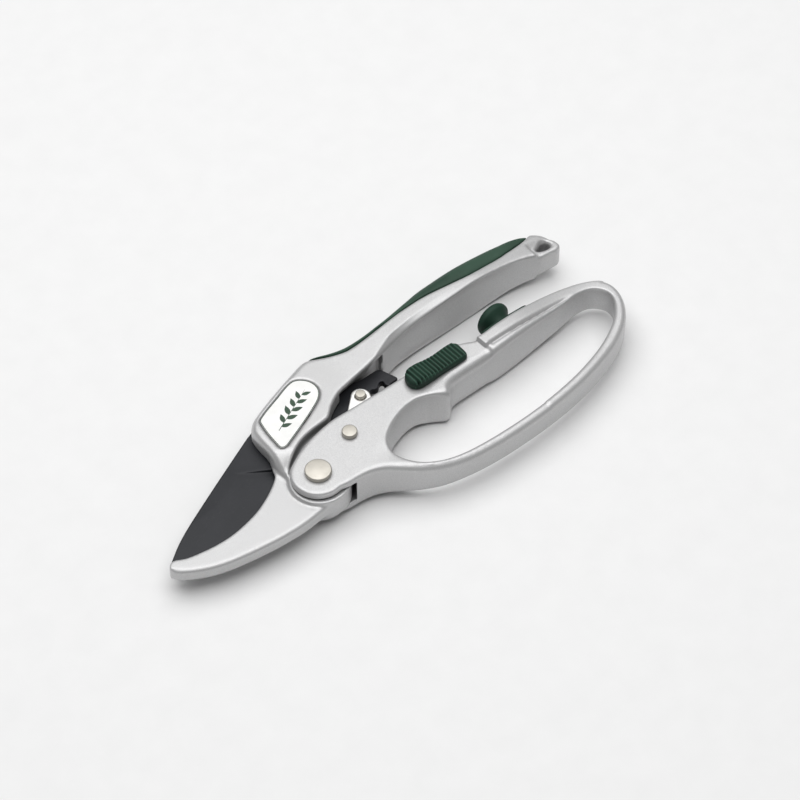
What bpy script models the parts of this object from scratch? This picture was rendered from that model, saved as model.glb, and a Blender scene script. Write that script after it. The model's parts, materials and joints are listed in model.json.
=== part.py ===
"""Ratchet pruner with a hooked jaw: an assembly of separate solids, in metres, +Z up.

The tool lies flat. Every outline below is in millimetres in the plane of the tool, measured from
the main pivot, with +X towards the handle ends and +Y towards the upper handle. Heights are
measured from the blade's middle plane, and the castings are symmetric about it.
"""
import math

import bmesh
import bpy
from mathutils import Matrix, Vector

MM = 0.001
NAME = "ratchet_pruner"

# Where the main pivot stands, so that the origin is the middle of the base of the whole tool.
MAIN_PIVOT_AT = Vector((-38.8, -5.735, 9.6))

# The four pivots of the linkage.
MAIN_PIVOT = Vector((0.0, 0.0))
BLADE_PIVOT = Vector((11.0, 26.0))
PAWL_PIVOT = Vector((19.9, 6.1))
PAWL_PIN = Vector((36.6, 19.4))

GAP = 0.3          # between neighbours that meet face to face
FIT = 0.15         # radial clearance round a pin

# Half heights of the plates, from the middle plane.
BLADE_HALF = 1.5
SLOT_HALF = BLADE_HALF + GAP
HOOK_HALF = 2.9
PAWL_HALF = 3.8
TONGUE_HALF = 4.5
POCKET_HALF = TONGUE_HALF + GAP
EAR_HALF = 7.8
HEAD_HALF = 8.6
REST_HALF = 9.6     # the pivot heads and the thick of both handles, which the tool lies on
STRAP_HALF = 5.8
TAB_HALF = 4.8
INLAY_STEP = 0.35   # how far the soft inlay lies below the casting beside it

TONGUE_R = 11.2
EAR_R = 10.0
MAIN_SHAFT_R = 2.8
MAIN_HEAD_R = 4.8
BUSH_R = 3.9
SPRING_POCKET_R = 7.2
SPRING_POCKET_HALF = 2.7
PAWL_SHAFT_R = 1.8
PAWL_HEAD_R = 2.8
CROSS_PIN_R = 1.85
CROSS_PIN_HALF = 5.2
BLADE_SHAFT_R = 3.0
BLADE_HEAD_R = 5.2
WASHER_R = 6.0
WASHER_THICK = 0.7
BADGE_DEPTH = 0.8
HANG_HOLE = (135.3, 28.9)
HANG_HOLE_R = 2.4
CATCH_RIVETS = ((58.6, 9.4), (65.4, 9.4))

WELD = 3e-6         # metres: points closer than this are one
RING = 40           # sides of a round piece
SMALL_RING = 28


# ---------------------------------------------------------------- scene and materials

for old in list(bpy.data.objects):
    bpy.data.objects.remove(old, do_unlink=True)

PARTS = bpy.data.collections.new(NAME)
CUTTERS = bpy.data.collections.new("cutters")
for collection in (PARTS, CUTTERS):
    bpy.context.scene.collection.children.link(collection)

BASE = bpy.data.objects.new("assembly", None)
BASE.location = MAIN_PIVOT_AT * MM
PARTS.objects.link(BASE)


def material(name, colour, roughness, metallic):
    made = bpy.data.materials.new(name)
    made.use_nodes = True
    shader = made.node_tree.nodes["Principled BSDF"]
    shader.inputs["Base Color"].default_value = (*colour, 1.0)
    shader.inputs["Roughness"].default_value = roughness
    shader.inputs["Metallic"].default_value = metallic
    made.diffuse_color = (*colour, 1.0)
    return made


CAST = material("silver_paint", (0.76, 0.76, 0.75), 0.38, 0.6)
COATED = material("coated_steel", (0.045, 0.046, 0.05), 0.42, 0.3)
BRIGHT = material("bright_steel", (0.80, 0.80, 0.79), 0.24, 1.0)
NICKEL = material("nickel_plate", (0.80, 0.75, 0.66), 0.26, 1.0)
SPRING = material("spring_steel", (0.42, 0.42, 0.43), 0.32, 1.0)
BRONZE = material("bearing_bronze", (0.56, 0.38, 0.18), 0.36, 1.0)
GREEN = material("green_rubber", (0.02, 0.085, 0.045), 0.6, 0.0)
BADGE = material("white_badge", (0.9, 0.9, 0.89), 0.3, 0.0)


# ---------------------------------------------------------------- shape helpers

def smooth_loop(points, step=3.0, closed=True):
    """A smooth curve through the points. A point with a third value is a corner."""
    spots = [Vector(p[:2]) for p in points]
    corner = [len(p) > 2 for p in points]
    count = len(spots)
    line = []
    for i in range(count if closed else count - 1):
        here, there = spots[i], spots[(i + 1) % count]
        before = here if corner[i] or (i == 0 and not closed) else spots[i - 1]
        last = not closed and i == count - 2
        after = there if corner[(i + 1) % count] or last else spots[(i + 2) % count]
        span = (there - here).length
        leave = (there - before) * (span / max((there - before).length, 1e-6))
        reach = (after - here) * (span / max((after - here).length, 1e-6))
        straight = corner[i] and corner[(i + 1) % count]
        pieces = 1 if straight else max(1, round(span / step))
        for k in range(pieces):
            t = k / pieces
            line.append(here * (2 * t**3 - 3 * t**2 + 1) + leave * (t**3 - 2 * t**2 + t)
                        + there * (3 * t**2 - 2 * t**3) + reach * (t**3 - t**2))
    if not closed:
        line.append(spots[-1])
    return line


def arc(centre, radius, start, end, count):
    """Points along a circle, from one angle to the other in degrees."""
    angles = [math.radians(start + (end - start) * k / count) for k in range(count + 1)]
    return [(centre[0] + radius * math.cos(a), centre[1] + radius * math.sin(a)) for a in angles]


def add_object(name, mesh, collection):
    made = bpy.data.objects.new(name, mesh)
    collection.objects.link(made)
    if collection is CUTTERS:
        made.hide_render = True
        made.display_type = "WIRE"
    return made


def settle(obj):
    """Replaces an object's mesh by what its modifiers, or its curve, make of it."""
    bpy.context.view_layer.update()
    seen = obj.evaluated_get(bpy.context.evaluated_depsgraph_get())
    mesh = bpy.data.meshes.new_from_object(seen)
    work = bmesh.new()
    work.from_mesh(mesh)
    bmesh.ops.remove_doubles(work, verts=work.verts, dist=WELD)
    bmesh.ops.dissolve_degenerate(work, edges=work.edges, dist=WELD)
    work.to_mesh(mesh)
    work.free()
    made = add_object(obj.name, mesh, obj.users_collection[0])
    made.matrix_world = obj.matrix_world
    name = obj.name
    bpy.data.objects.remove(obj, do_unlink=True)
    made.name = name
    return made


def plate(name, outline, low, high, bevel=0.0, segments=2, holes=(), collection=None):
    """A flat outline made thick from one height to the other, with rounded edges."""
    curve = bpy.data.curves.new(name, "CURVE")
    curve.dimensions = "2D"
    curve.fill_mode = "BOTH"
    curve.extrude = (high - low) / 2 * MM
    for loop in (outline, *holes):
        spline = curve.splines.new("POLY")
        spline.points.add(len(loop) - 1)
        for spot, point in zip(loop, spline.points):
            point.co = (spot[0] * MM, spot[1] * MM, 0, 1)
        spline.use_cyclic_u = True
    made = add_object(name, curve, collection or PARTS)
    made.location.z = (high + low) / 2 * MM
    made = settle(made)
    made.data.transform(made.matrix_world)
    made.matrix_world = Matrix()
    if bevel:
        work = bmesh.new()
        work.from_mesh(made.data)
        bmesh.ops.dissolve_limit(work, angle_limit=math.radians(1), verts=[], edges=work.edges)
        work.to_mesh(made.data)
        work.free()
        add = made.modifiers.new("edges", "BEVEL")
        add.width = bevel * MM
        add.segments = segments
        add.limit_method = "ANGLE"
        add.angle_limit = math.radians(60)
        add.use_clamp_overlap = True
        made = settle(made)
    return made


def reshaped(obj, height, across=(), along=()):
    """Moves each point to the height that a rule gives for its (x, y, z).

    The plate is first split across its length at some x, and along it at some y, where the rule
    changes its slope.
    """
    work = bmesh.new()
    work.from_mesh(obj.data)
    for places, normal in ((across, Vector((1, 0, 0))), (along, Vector((0, 1, 0)))):
        for place in places:
            geom = work.verts[:] + work.edges[:] + work.faces[:]
            bmesh.ops.bisect_plane(work, geom=geom, dist=WELD, plane_co=normal * place * MM,
                                   plane_no=normal)
    for vertex in work.verts:
        x, y, z = vertex.co / MM
        vertex.co.z = height(x, y, z) * MM
    bmesh.ops.triangulate(work, faces=work.faces)
    work.to_mesh(obj.data)
    work.free()
    return obj


def between(value, table):
    """Reads a list of (place, value) pairs, straight between neighbours and level past the ends."""
    for (low, first), (high, second) in zip(table, table[1:]):
        if value <= high:
            share = max(0.0, (value - low) / (high - low))
            return first + (second - first) * share
    return table[-1][1]


def cutter(name, outline, low, high):
    return plate(name, outline, low, high, collection=CUTTERS)


def turned(name, centre, profile, sides=RING, collection=None, axis="Z", phase=0.0):
    """A profile of (radius, height) pairs, top to bottom, turned about an upright line."""
    mesh = bpy.data.meshes.new(name)
    spots = [(radius * MM, 0, height * MM) for radius, height in profile]
    mesh.from_pydata(spots, [(i, i + 1) for i in range(len(spots) - 1)], [])
    made = add_object(name, mesh, collection or PARTS)
    screw = made.modifiers.new("turn", "SCREW")
    screw.steps = sides
    screw.render_steps = sides
    screw.use_merge_vertices = True
    screw.merge_threshold = 1e-6
    made = settle(made)
    turn = Matrix.Rotation(math.radians(phase), 4, "Z")
    if axis == "Y":
        turn = Matrix.Rotation(math.radians(-90), 4, "X") @ turn
    place = Matrix.Translation(Vector((centre[0], centre[1], 0)) * MM)
    made.data.transform(place @ turn)
    return made


def ring_profile(outer, inner, high, low, edge=0.0):
    """A washer or sleeve: down the outside and back up the bore."""
    return [(inner, high), (outer - edge, high), (outer, high - edge), (outer, low + edge),
            (outer - edge, low), (inner, low), (inner, high)]


def disc_profile(radius, high, low):
    return [(0, high), (radius, high), (radius, low), (0, low)]


def combine(target, others, operation):
    """Joins or cuts a solid with others, one exact Boolean after another."""
    name = target.name
    for other in others:
        step = target.modifiers.new(operation, "BOOLEAN")
        step.object = other
        step.operation = operation
        step.solver = "EXACT"
    target = settle(target)
    for other in others:
        if operation == "UNION":
            bpy.data.objects.remove(other, do_unlink=True)
    target.name = name
    return target


def joined(target, *others):
    return combine(target, others, "UNION")


def cut(target, *others):
    return combine(target, others, "DIFFERENCE")


def bore(name, centre, radius, half=20.0, low=None, sides=RING):
    return turned(name, centre, disc_profile(radius, half, -half if low is None else low), sides,
                  CUTTERS, phase=3.1)


def wire(name, path, radius, sides=8):
    """A round wire along a path of (x, y, z) points."""
    curve = bpy.data.curves.new(name, "CURVE")
    curve.dimensions = "3D"
    curve.bevel_depth = radius * MM
    curve.bevel_resolution = sides // 4
    curve.use_fill_caps = True
    spline = curve.splines.new("POLY")
    spline.points.add(len(path) - 1)
    for spot, point in zip(path, spline.points):
        point.co = (spot[0] * MM, spot[1] * MM, spot[2] * MM, 1)
    return settle(add_object(name, curve, PARTS))


def coil(centre, radius, turns, pitch, start, legs, per_turn=18):
    """A torsion spring's path: the coil, with a straight leg of the given length at each end."""
    first, last = math.radians(start), math.radians(start + 360 * turns)
    height = pitch * turns
    path = []
    for k in range(round(turns * per_turn) + 1):
        t = k / round(turns * per_turn)
        angle = first + (last - first) * t
        path.append((centre[0] + radius * math.cos(angle), centre[1] + radius * math.sin(angle),
                     height * (t - 0.5)))
    def leg(angle, at, way, length):
        return (at[0] + way * length * -math.sin(angle), at[1] + way * length * math.cos(angle),
                at[2])
    return ([leg(first, path[0], -1, legs[0])] + path + [leg(last, path[-1], 1, legs[1])])


# ---------------------------------------------------------------- outlines

# The hook's concave lip, tip to heel, and its outer edge, heel to tip.
LIP = [(-61.0, 6.6), (-56.4, 4.4), (-50.8, 3.0), (-44.6, 2.0), (-37.8, 1.8), (-30.2, 2.8),
       (-23.6, 4.5), (-16.2, 7.8), (-10.4, 11.6), (-7.6, 15.6)]
HOOK_OUTER = [(-2.0, -10.2), (-8.0, -11.0), (-16.0, -11.5), (-25.6, -10.9), (-34.0, -9.7),
              (-40.0, -8.6), (-46.0, -7.2), (-52.0, -5.1), (-57.2, -2.4), (-61.2, 0.4)]
HOOK_NOSE = [(-63.6, 2.9), (-63.6, 5.3)]

# The upper handle: the head's far edge, the grip and its end.
HEAD_FAR = [(-6.6, 20.0), (-6.2, 26.0), (-5.2, 30.2), (-2.6, 33.2), (1.4, 35.2), (7.0, 37.2),
            (14.0, 39.4), (21.0, 41.4), (27.0, 42.9), (30.6, 43.0)]
GRIP_FAR = [(34.0, 41.9), (38.5, 40.4), (43.0, 39.3), (48.0, 38.6), (54.0, 38.3), (62.0, 38.6),
            (72.0, 40.4), (82.0, 42.4), (91.0, 43.1), (100.0, 43.2), (111.0, 42.1), (122.0, 40.2),
            (129.0, 38.1)]
HANDLE_END = [(134.5, 35.2), (138.4, 33.0), (140.8, 29.4), (141.2, 26.6), (139.8, 25.0),
              (136.5, 25.0)]
GRIP_NEAR = [(131.0, 25.8), (124.0, 27.4), (116.0, 28.6), (103.0, 29.3), (88.0, 29.3),
             (73.0, 29.1), (62.0, 28.2), (53.0, 26.6), (45.0, 25.3), (37.0, 24.3), (29.5, 23.0),
             (23.8, 20.2), (19.2, 16.8)]
# The head's step round the lower handle's ear.
HEAD_STEP = [(17.2, 16.4, 1), (9.6, 16.0), (3.0, 14.2), (-2.2, 11.6), (-5.0, 10.4), (-7.6, 15.6)]
# Where the soft inlay of the grip meets the casting.
INLAY_EDGE = [(34.0, 40.4), (38.5, 38.4), (43.0, 37.0), (48.0, 36.0), (54.0, 35.5), (60.0, 35.5),
              (67.0, 36.0), (76.0, 36.4), (86.0, 36.3), (97.0, 35.4), (108.0, 34.2),
              (120.0, 33.8), (129.0, 34.0)]

# The lower handle: its outer edge, clockwise from under the main pivot, and the finger loop.
LOWER_OUTER = [(5.0, -10.5), (10.0, -11.0), (15.0, -12.1), (19.6, -14.4), (24.3, -18.4),
               (29.5, -22.7), (36.5, -26.7), (46.0, -29.6), (58.0, -31.2), (72.0, -31.8),
               (87.0, -31.4), (101.0, -29.9), (113.0, -27.3), (123.2, -23.9), (131.7, -19.1),
               (137.0, -13.8), (140.2, -8.0), (141.0, -2.6), (139.4, 1.5), (135.2, 4.6),
               (129.3, 6.9), (119.5, 8.7), (107.0, 9.3), (94.0, 9.2), (84.0, 9.0), (79.5, 11.2),
               (74.0, 13.5), (62.0, 13.9), (49.5, 13.9), (37.0, 14.5), (27.0, 15.0),
               (18.3, 15.3), (8.0, 13.7), (0.6, 11.4)]
FINGER_LOOP = [(26.6, -11.0), (27.2, -7.4), (29.2, -4.4), (32.6, -1.8), (37.4, 0.5),
               (43.0, 2.1), (48.0, 2.3), (51.6, 0.8), (54.4, -1.8), (57.0, -3.6), (59.8, -3.6),
               (62.4, -1.6), (66.0, -0.1), (75.0, 0.0), (88.0, 0.1), (103.0, 0.4),
               (117.0, 1.1), (127.0, 1.8), (132.5, 0.8), (135.8, -2.3), (136.5, -5.8),
               (134.5, -10.2), (129.4, -15.2), (120.5, -19.9), (111.0, -23.2), (99.0, -25.9),
               (84.0, -27.5), (68.0, -27.7), (51.0, -26.5), (40.0, -24.2), (33.0, -20.8),
               (28.6, -16.2)]

BLADE_SPINE = [(-61.0, 7.5), (-54.4, 11.6), (-48.0, 14.8), (-30.0, 22.6), (-19.0, 27.2),
               (-5.0, 33.0)]
BLADE_DEPTH = 1.7    # how far the edge goes into the hook's groove
GROOVE_DEPTH = 2.5
GRIND_WIDTH = 7.0
EDGE_HALF = 0.12

BADGE_OUTLINE = [(-3.0, 17.4), (-2.0, 16.2), (0.2, 16.4), (20.2, 24.4), (24.4, 28.0),
                 (25.0, 32.5), (22.8, 36.2), (19.3, 37.6), (10.6, 35.2), (1.6, 32.3), (-0.9, 30.6)]


def offset_line(line, distance):
    """A line moved sideways, to the right of its own direction."""
    moved = []
    for i, spot in enumerate(line):
        way = line[min(i + 1, len(line) - 1)] - line[max(i - 1, 0)]
        way.normalize()
        moved.append(spot + Vector((way.y, -way.x)) * distance)
    return moved


def grown(outline, distance):
    """A clockwise or anticlockwise loop moved outward by a distance."""
    count = len(outline)
    area = sum(outline[i].x * outline[(i + 1) % count].y - outline[(i + 1) % count].x
               * outline[i].y for i in range(count))
    side = 1 if area > 0 else -1
    moved = []
    for i, spot in enumerate(outline):
        way = outline[(i + 1) % count] - outline[i - 1]
        way.normalize()
        moved.append(spot + Vector((way.y, -way.x)) * distance * side)
    return moved


# ---------------------------------------------------------------- upper handle and jaw

def blade_slot():
    """The slot in the blade's plane: the hook's groove, and the room that the blade swings in."""
    groove = offset_line(smooth_loop(LIP, 4.0, closed=False), GROOVE_DEPTH)
    groove = [Vector((-61.7, 6.2))] + groove[1:-2]
    inside = [(-3.0, 12.0), (6.0, 12.6), (14.0, 11.0), (22.0, 8.0), (62.0, 8.0), (62.0, 20.0),
              (56.0, 27.6), (50.0, 27.2), (43.0, 27.6), (30.0, 30.4), (22.0, 33.8), (13.6, 36.8),
              (10.4, 38.6), (9.0, 44.0), (-12.0, 44.0), (-12.0, 32.0), (-62.0, 16.0)]
    return cutter("blade_slot", groove + inside, -SLOT_HALF, SLOT_HALF)


# The upper handle's half height along its length.
UPPER_LEVEL = [(36, HEAD_HALF), (60, REST_HALF), (103, REST_HALF), (116, 8.1), (129, 6.8),
               (130.4, TAB_HALF + 0.4), (139, TAB_HALF)]
UPPER_STATIONS = [x for x, level in UPPER_LEVEL]


def upper_handle():
    hook = smooth_loop(LIP + [(0.0, 15.0, 1), (2.0, -4.0, 1)] + HOOK_OUTER + HOOK_NOSE, 3.6)
    body = plate("upper_handle", hook, -HOOK_HALF, HOOK_HALF, bevel=1.1)
    outline = smooth_loop(HEAD_FAR + GRIP_FAR + HANDLE_END + GRIP_NEAR + HEAD_STEP, 3.6)
    handle = plate("handle", outline, -HEAD_HALF, HEAD_HALF, bevel=2.4, segments=3)
    reshaped(handle, lambda x, y, z: z * between(x, UPPER_LEVEL) / HEAD_HALF, UPPER_STATIONS)
    root = smooth_loop([(-7.6, 6.0, 1), (-7.6, 17.0, 1), (17.0, 18.0, 1), (13.4, 13.6),
                        (10.2, 9.6), (7.0, 7.0, 1)], 3.6)
    far_side = [(131.6, 34.2), (131.6, 48.0), (33.0, 48.0), (33.0, 41.0)]
    inlay_room = smooth_loop(INLAY_EDGE, 3.6, closed=False) + [Vector(p) for p in far_side]
    body = joined(body, handle,
                  plate("root", root, GAP - TONGUE_HALF, TONGUE_HALF - GAP),
                  turned("tongue", MAIN_PIVOT, disc_profile(TONGUE_R, TONGUE_HALF, -TONGUE_HALF)))
    window = cutter("spring_window", [Vector(p) for p in ((2, -1), (13, -2), (12, -9), (0, -4))],
                    -SPRING_POCKET_HALF, SPRING_POCKET_HALF)
    clear_of_pawl = smooth_loop([(26.0, 12.0, 1), (28.6, 19.2), (31.4, 22.4), (36.8, 23.8),
                                 (41.4, 22.8), (43.6, 18.0, 1), (43.6, 8.0, 1)], 3.0)
    badge_room = grown(smooth_loop(BADGE_OUTLINE, 3.6), GAP)
    return cut(body, blade_slot(), window,
               cutter("inlay_room", inlay_room, -20, 20),
               cutter("pawl_room", clear_of_pawl, -PAWL_HALF - GAP, PAWL_HALF + GAP),
               cutter("badge_room", badge_room, HEAD_HALF - BADGE_DEPTH, 20),
               bore("pivot_bore", MAIN_PIVOT, BUSH_R + FIT),
               turned("spring_room", MAIN_PIVOT, disc_profile(SPRING_POCKET_R, SPRING_POCKET_HALF,
                      -SPRING_POCKET_HALF), collection=CUTTERS, phase=1.7),
               bore("blade_bore", BLADE_PIVOT, BLADE_SHAFT_R + FIT),
               turned("bolt_recess", BLADE_PIVOT, disc_profile(BLADE_HEAD_R + GAP, 20, 6.0),
                      collection=CUTTERS),
               turned("nut_recess", BLADE_PIVOT, disc_profile(5.6, -5.2, -20), collection=CUTTERS),
               turned("washer_room", BLADE_PIVOT, disc_profile(WASHER_R + GAP,
                      SLOT_HALF + WASHER_THICK + GAP, -SLOT_HALF - WASHER_THICK - GAP),
                      collection=CUTTERS),
               cutter("hang_hole", [Vector(p) for p in hang_hole()], -20, 20))


def hang_hole():
    x, y = HANG_HOLE
    return (arc((x + 1.2, y), HANG_HOLE_R, -90, 90, 8) + arc((x - 1.2, y), HANG_HOLE_R, 90, 270, 8))


def grip_inlay():
    """The soft inlay: rounded over on its outer side, square against the casting."""
    near = [(131.2, 30.0, 1), (36.0, 30.0, 1), (36.0, 38.0, 1)]
    outline = smooth_loop(GRIP_FAR[:-1] + [(128.6, 38.2), (131.2, 36.8, 1)] + near, 3.6)
    half = REST_HALF - INLAY_STEP
    inlay = plate("grip_inlay", outline, -half, half, bevel=4.0, segments=4)
    reshaped(inlay, lambda x, y, z: z * (between(x, UPPER_LEVEL) - INLAY_STEP) / half,
             UPPER_STATIONS)
    edge = smooth_loop(INLAY_EDGE, 3.6, closed=False)
    near_side = [(134.0, 34.5), (134.0, 20.0), (20.0, 20.0), (20.0, 45.0), (33.2, 45.0), (33.2, 41.2)]
    casting = [p + Vector((0, GAP)) for p in edge] + [Vector(p) for p in near_side]
    return cut(inlay, cutter("casting_side", casting, -21, 21))


def badge():
    outline = smooth_loop(BADGE_OUTLINE, 3.6)
    floor = HEAD_HALF - BADGE_DEPTH
    return plate("badge_plate", outline, floor + 0.1, HEAD_HALF + 0.25, bevel=0.25, segments=1)


# ---------------------------------------------------------------- blade

def blade():
    """A ground blade: thin at the convex edge, full thickness past the grind, with a toothed tail."""
    lip = smooth_loop(LIP, 4.0, closed=False)
    edge = offset_line(lip, BLADE_DEPTH)[1:-1]
    tip = Vector(BLADE_SPINE[0])
    count = len(edge)
    spine = smooth_loop(BLADE_SPINE, 1.0, closed=False)
    back = [spine[round(k * (len(spine) - 1) / (count - 1))] for k in range(count)]
    work = bmesh.new()
    rows = []
    for k in range(count):
        across = back[k] - edge[k]
        share = min(GRIND_WIDTH / across.length, 0.6)
        grind = edge[k] + across * share
        thick = BLADE_HALF * min(1.0, 0.45 + k / 5)
        ring = [(edge[k], EDGE_HALF), (grind, thick), (back[k], thick),
                (back[k], -thick), (grind, -thick), (edge[k], -EDGE_HALF)]
        rows.append([work.verts.new((p.x * MM, p.y * MM, z * MM)) for p, z in ring])
    for near, far in zip(rows, rows[1:]):
        for i in range(6):
            work.faces.new((near[i], near[(i + 1) % 6], far[(i + 1) % 6], far[i]))
    work.faces.new(rows[0][::-1])
    work.faces.new(rows[-1])
    bmesh.ops.recalc_face_normals(work, faces=work.faces)
    mesh = bpy.data.meshes.new("blade")
    work.to_mesh(mesh)
    work.free()
    front = add_object("blade", mesh, PARTS)
    tang = smooth_loop([(back[-1].x - 1.2, back[-1].y - 0.5, 1), (-1.0, 34.2), (4.0, 35.0),
                        (11.0, 35.2), (20.0, 32.8), (30.0, 29.6), (43.0, 26.7), (50.4, 26.3),
                        (51.6, 25.6, 1), (53.6, 19.0, 1), (53.6, 14.7, 1), (49.2, 14.7, 1),
                        (48.6, 17.2, 1), (48.4, 19.6, 1), (46.6, 20.6), (45.2, 19.4, 1),
                        (44.0, 19.6, 1), (42.8, 20.6), (41.4, 19.6), (40.8, 18.6, 1),
                        (39.8, 20.4), (36.8, 22.7), (33.8, 20.4), (33.0, 17.2, 1), (28.0, 16.6),
                        (20.0, 15.4), (11.0, 15.2), (2.0, 13.8), (-3.0, 13.6, 1),
                        (edge[-1].x, edge[-1].y, 1), (edge[-1].x - 0.8, edge[-1].y + 5.0, 1)], 3.2)
    body = joined(front, plate("tang", tang, -BLADE_HALF, BLADE_HALF))
    catch_slot = cutter("catch_slot", [Vector(p) for p in ((49.6, 16.0), (60, 16.0), (60, 18.2),
                        (49.6, 18.2))], -3, 3)
    return cut(body, bore("blade_hole", BLADE_PIVOT, BLADE_SHAFT_R + FIT), catch_slot)


def blade_pivot():
    """The bolt under the badge, its hexagon nut in the underside, and two thrust washers."""
    bolt = [(0, 7.5), (BLADE_HEAD_R, 7.5), (BLADE_HEAD_R, 6.3), (BLADE_SHAFT_R, 6.3),
            (BLADE_SHAFT_R, -8.2), (0, -8.2)]
    turned("blade_pivot_bolt", BLADE_PIVOT, bolt)
    hexagon = [Vector(p) for p in arc(BLADE_PIVOT, 4.9, 0, 300, 5)]
    cut(plate("blade_pivot_nut", hexagon, -8.0, -5.5, bevel=0.3, segments=1),
        bore("nut_thread", BLADE_PIVOT, BLADE_SHAFT_R + FIT))
    low = SLOT_HALF
    for name, side in (("blade_washer_upper", 1), ("blade_washer_lower", -1)):
        ends = sorted((side * low, side * (low + WASHER_THICK)), reverse=True)
        turned(name, BLADE_PIVOT, ring_profile(WASHER_R, BLADE_SHAFT_R + FIT, *ends))


# ---------------------------------------------------------------- lower handle

# The lower handle's half height: the bar that thickens behind the ear, and the finger strap.
BAR_LEVEL = [(48, EAR_HALF), (60, REST_HALF), (98, REST_HALF), (132, STRAP_HALF)]
STRAP_LEVEL = [(20, EAR_HALF), (44, STRAP_HALF)]
STRAP_TO_BAR = (-12, -4)


def lower_level(x, y):
    ends = (between(x, STRAP_LEVEL), between(x, BAR_LEVEL))
    return between(y, list(zip(STRAP_TO_BAR, ends)))


def lower_handle():
    ear = arc(MAIN_PIVOT, EAR_R, 118, 282, 22)
    outline = smooth_loop(ear + LOWER_OUTER, 3.6)
    body = plate("lower_handle", outline, -EAR_HALF, EAR_HALF, bevel=1.4, segments=3,
                 holes=[smooth_loop(FINGER_LOOP, 3.6)])
    reshaped(body, lambda x, y, z: z * lower_level(x, y) / EAR_HALF,
             [x for x, level in STRAP_LEVEL + BAR_LEVEL], STRAP_TO_BAR)
    flat_top = [Vector(p) for p in ((-20, 24), (-20, -40), (83.4, -40), (83.9, 24))]
    flat_under = [Vector(p) for p in ((-20, 24), (-20, -40), (40, -40), (48, 24))]
    pocket = smooth_loop([(-20.0, 24.0, 1), (-20.0, -11.2, 1), (0.0, -12.4, 1)]
                         + arc(MAIN_PIVOT, TONGUE_R + 1.6, -85, -25, 6)
                         + [(16.0, -2.6), (22.0, -1.4), (28.0, 2.6), (34.0, 5.4), (42.0, 5.8, 1),
                            (68.0, 5.8, 1), (68.0, 24.0, 1)], 3.6)
    stem_slot = [Vector(p) for p in ((53.2, 8.0), (67.2, 8.0), (67.2, 10.8), (53.2, 10.8))]
    return cut(body, cutter("flat_top", flat_top, EAR_HALF, 20),
               cutter("flat_under", flat_under, -20, -EAR_HALF),
               cutter("pocket", pocket, -POCKET_HALF, POCKET_HALF),
               cutter("stem_slot", stem_slot, 0, 20),
               bore("ear_bore", MAIN_PIVOT, MAIN_SHAFT_R + FIT),
               bore("pawl_bore", PAWL_PIVOT, PAWL_SHAFT_R + FIT, sides=SMALL_RING))


def rivet(name, centre, shaft, head, head_sides):
    """A shaft with a domed head formed on each end, standing on the two ears."""
    seat = EAR_HALF + 0.15
    half = [(0, REST_HALF), (head - 0.7, REST_HALF), (head, REST_HALF - 0.5), (head, seat),
            (shaft, seat)]
    return turned(name, centre, half + [(r, -z) for r, z in reversed(half)], head_sides)


def main_pivot():
    rivet("main_pivot_pin", MAIN_PIVOT, MAIN_SHAFT_R, MAIN_HEAD_R, RING)
    turned("main_pivot_bush", MAIN_PIVOT, ring_profile(BUSH_R, MAIN_SHAFT_R + FIT, TONGUE_HALF,
           -TONGUE_HALF, 0.3))
    wire("opening_spring", coil(MAIN_PIVOT, 5.4, 2.5, 1.6, 150, (2.6, 2.6)), 0.65)


# ---------------------------------------------------------------- pawl

def pawl():
    """Two bright cheeks on a rivet, held apart by a sleeve, with the pin that drives the blade."""
    outline = smooth_loop(arc(PAWL_PIVOT, 5.2, 150, 290, 7) + [(26.0, 3.6), (32.5, 9.5),
                          (38.6, 15.4)] + arc(PAWL_PIN, 3.6, -20, 140, 7)
                          + [(30.4, 18.8), (24.0, 13.6), (18.0, 11.0)], 3.0)
    for name, side in (("pawl_cheek_upper", 1), ("pawl_cheek_lower", -1)):
        low, high = sorted((side * (BLADE_HALF + GAP), side * PAWL_HALF))
        cheek = plate(name, outline, low, high, bevel=0.25, segments=1)
        cut(cheek, bore(f"{name}_a", PAWL_PIVOT, PAWL_SHAFT_R + FIT, sides=SMALL_RING),
            bore(f"{name}_b", PAWL_PIN, CROSS_PIN_R + FIT, sides=SMALL_RING))
    pin = [(0, CROSS_PIN_HALF), (CROSS_PIN_R - 0.3, CROSS_PIN_HALF),
           (CROSS_PIN_R, CROSS_PIN_HALF - 0.3)]
    turned("pawl_cross_pin", PAWL_PIN, pin + [(r, -z) for r, z in reversed(pin)], SMALL_RING)
    rivet("pawl_rivet", PAWL_PIVOT, PAWL_SHAFT_R, PAWL_HEAD_R, SMALL_RING)
    turned("pawl_sleeve", PAWL_PIVOT, ring_profile(2.8, PAWL_SHAFT_R + FIT, BLADE_HALF,
           -BLADE_HALF), SMALL_RING)
    wire("pawl_spring", coil(PAWL_PIVOT, 3.6, 2.0, 0.95, 20, (3.6, 3.2), 14), 0.36)


# ---------------------------------------------------------------- safety catch

PAD_OUTLINE = [(50.0, 9.4), (50.2, 6.8), (52.0, 5.0), (55.4, 4.5), (64.0, 4.5), (73.0, 4.3),
               (75.2, 5.0), (75.8, 8.6), (75.6, 11.6), (73.6, 12.8), (64.0, 12.7), (55.0, 13.0),
               (51.8, 12.4)]


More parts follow.
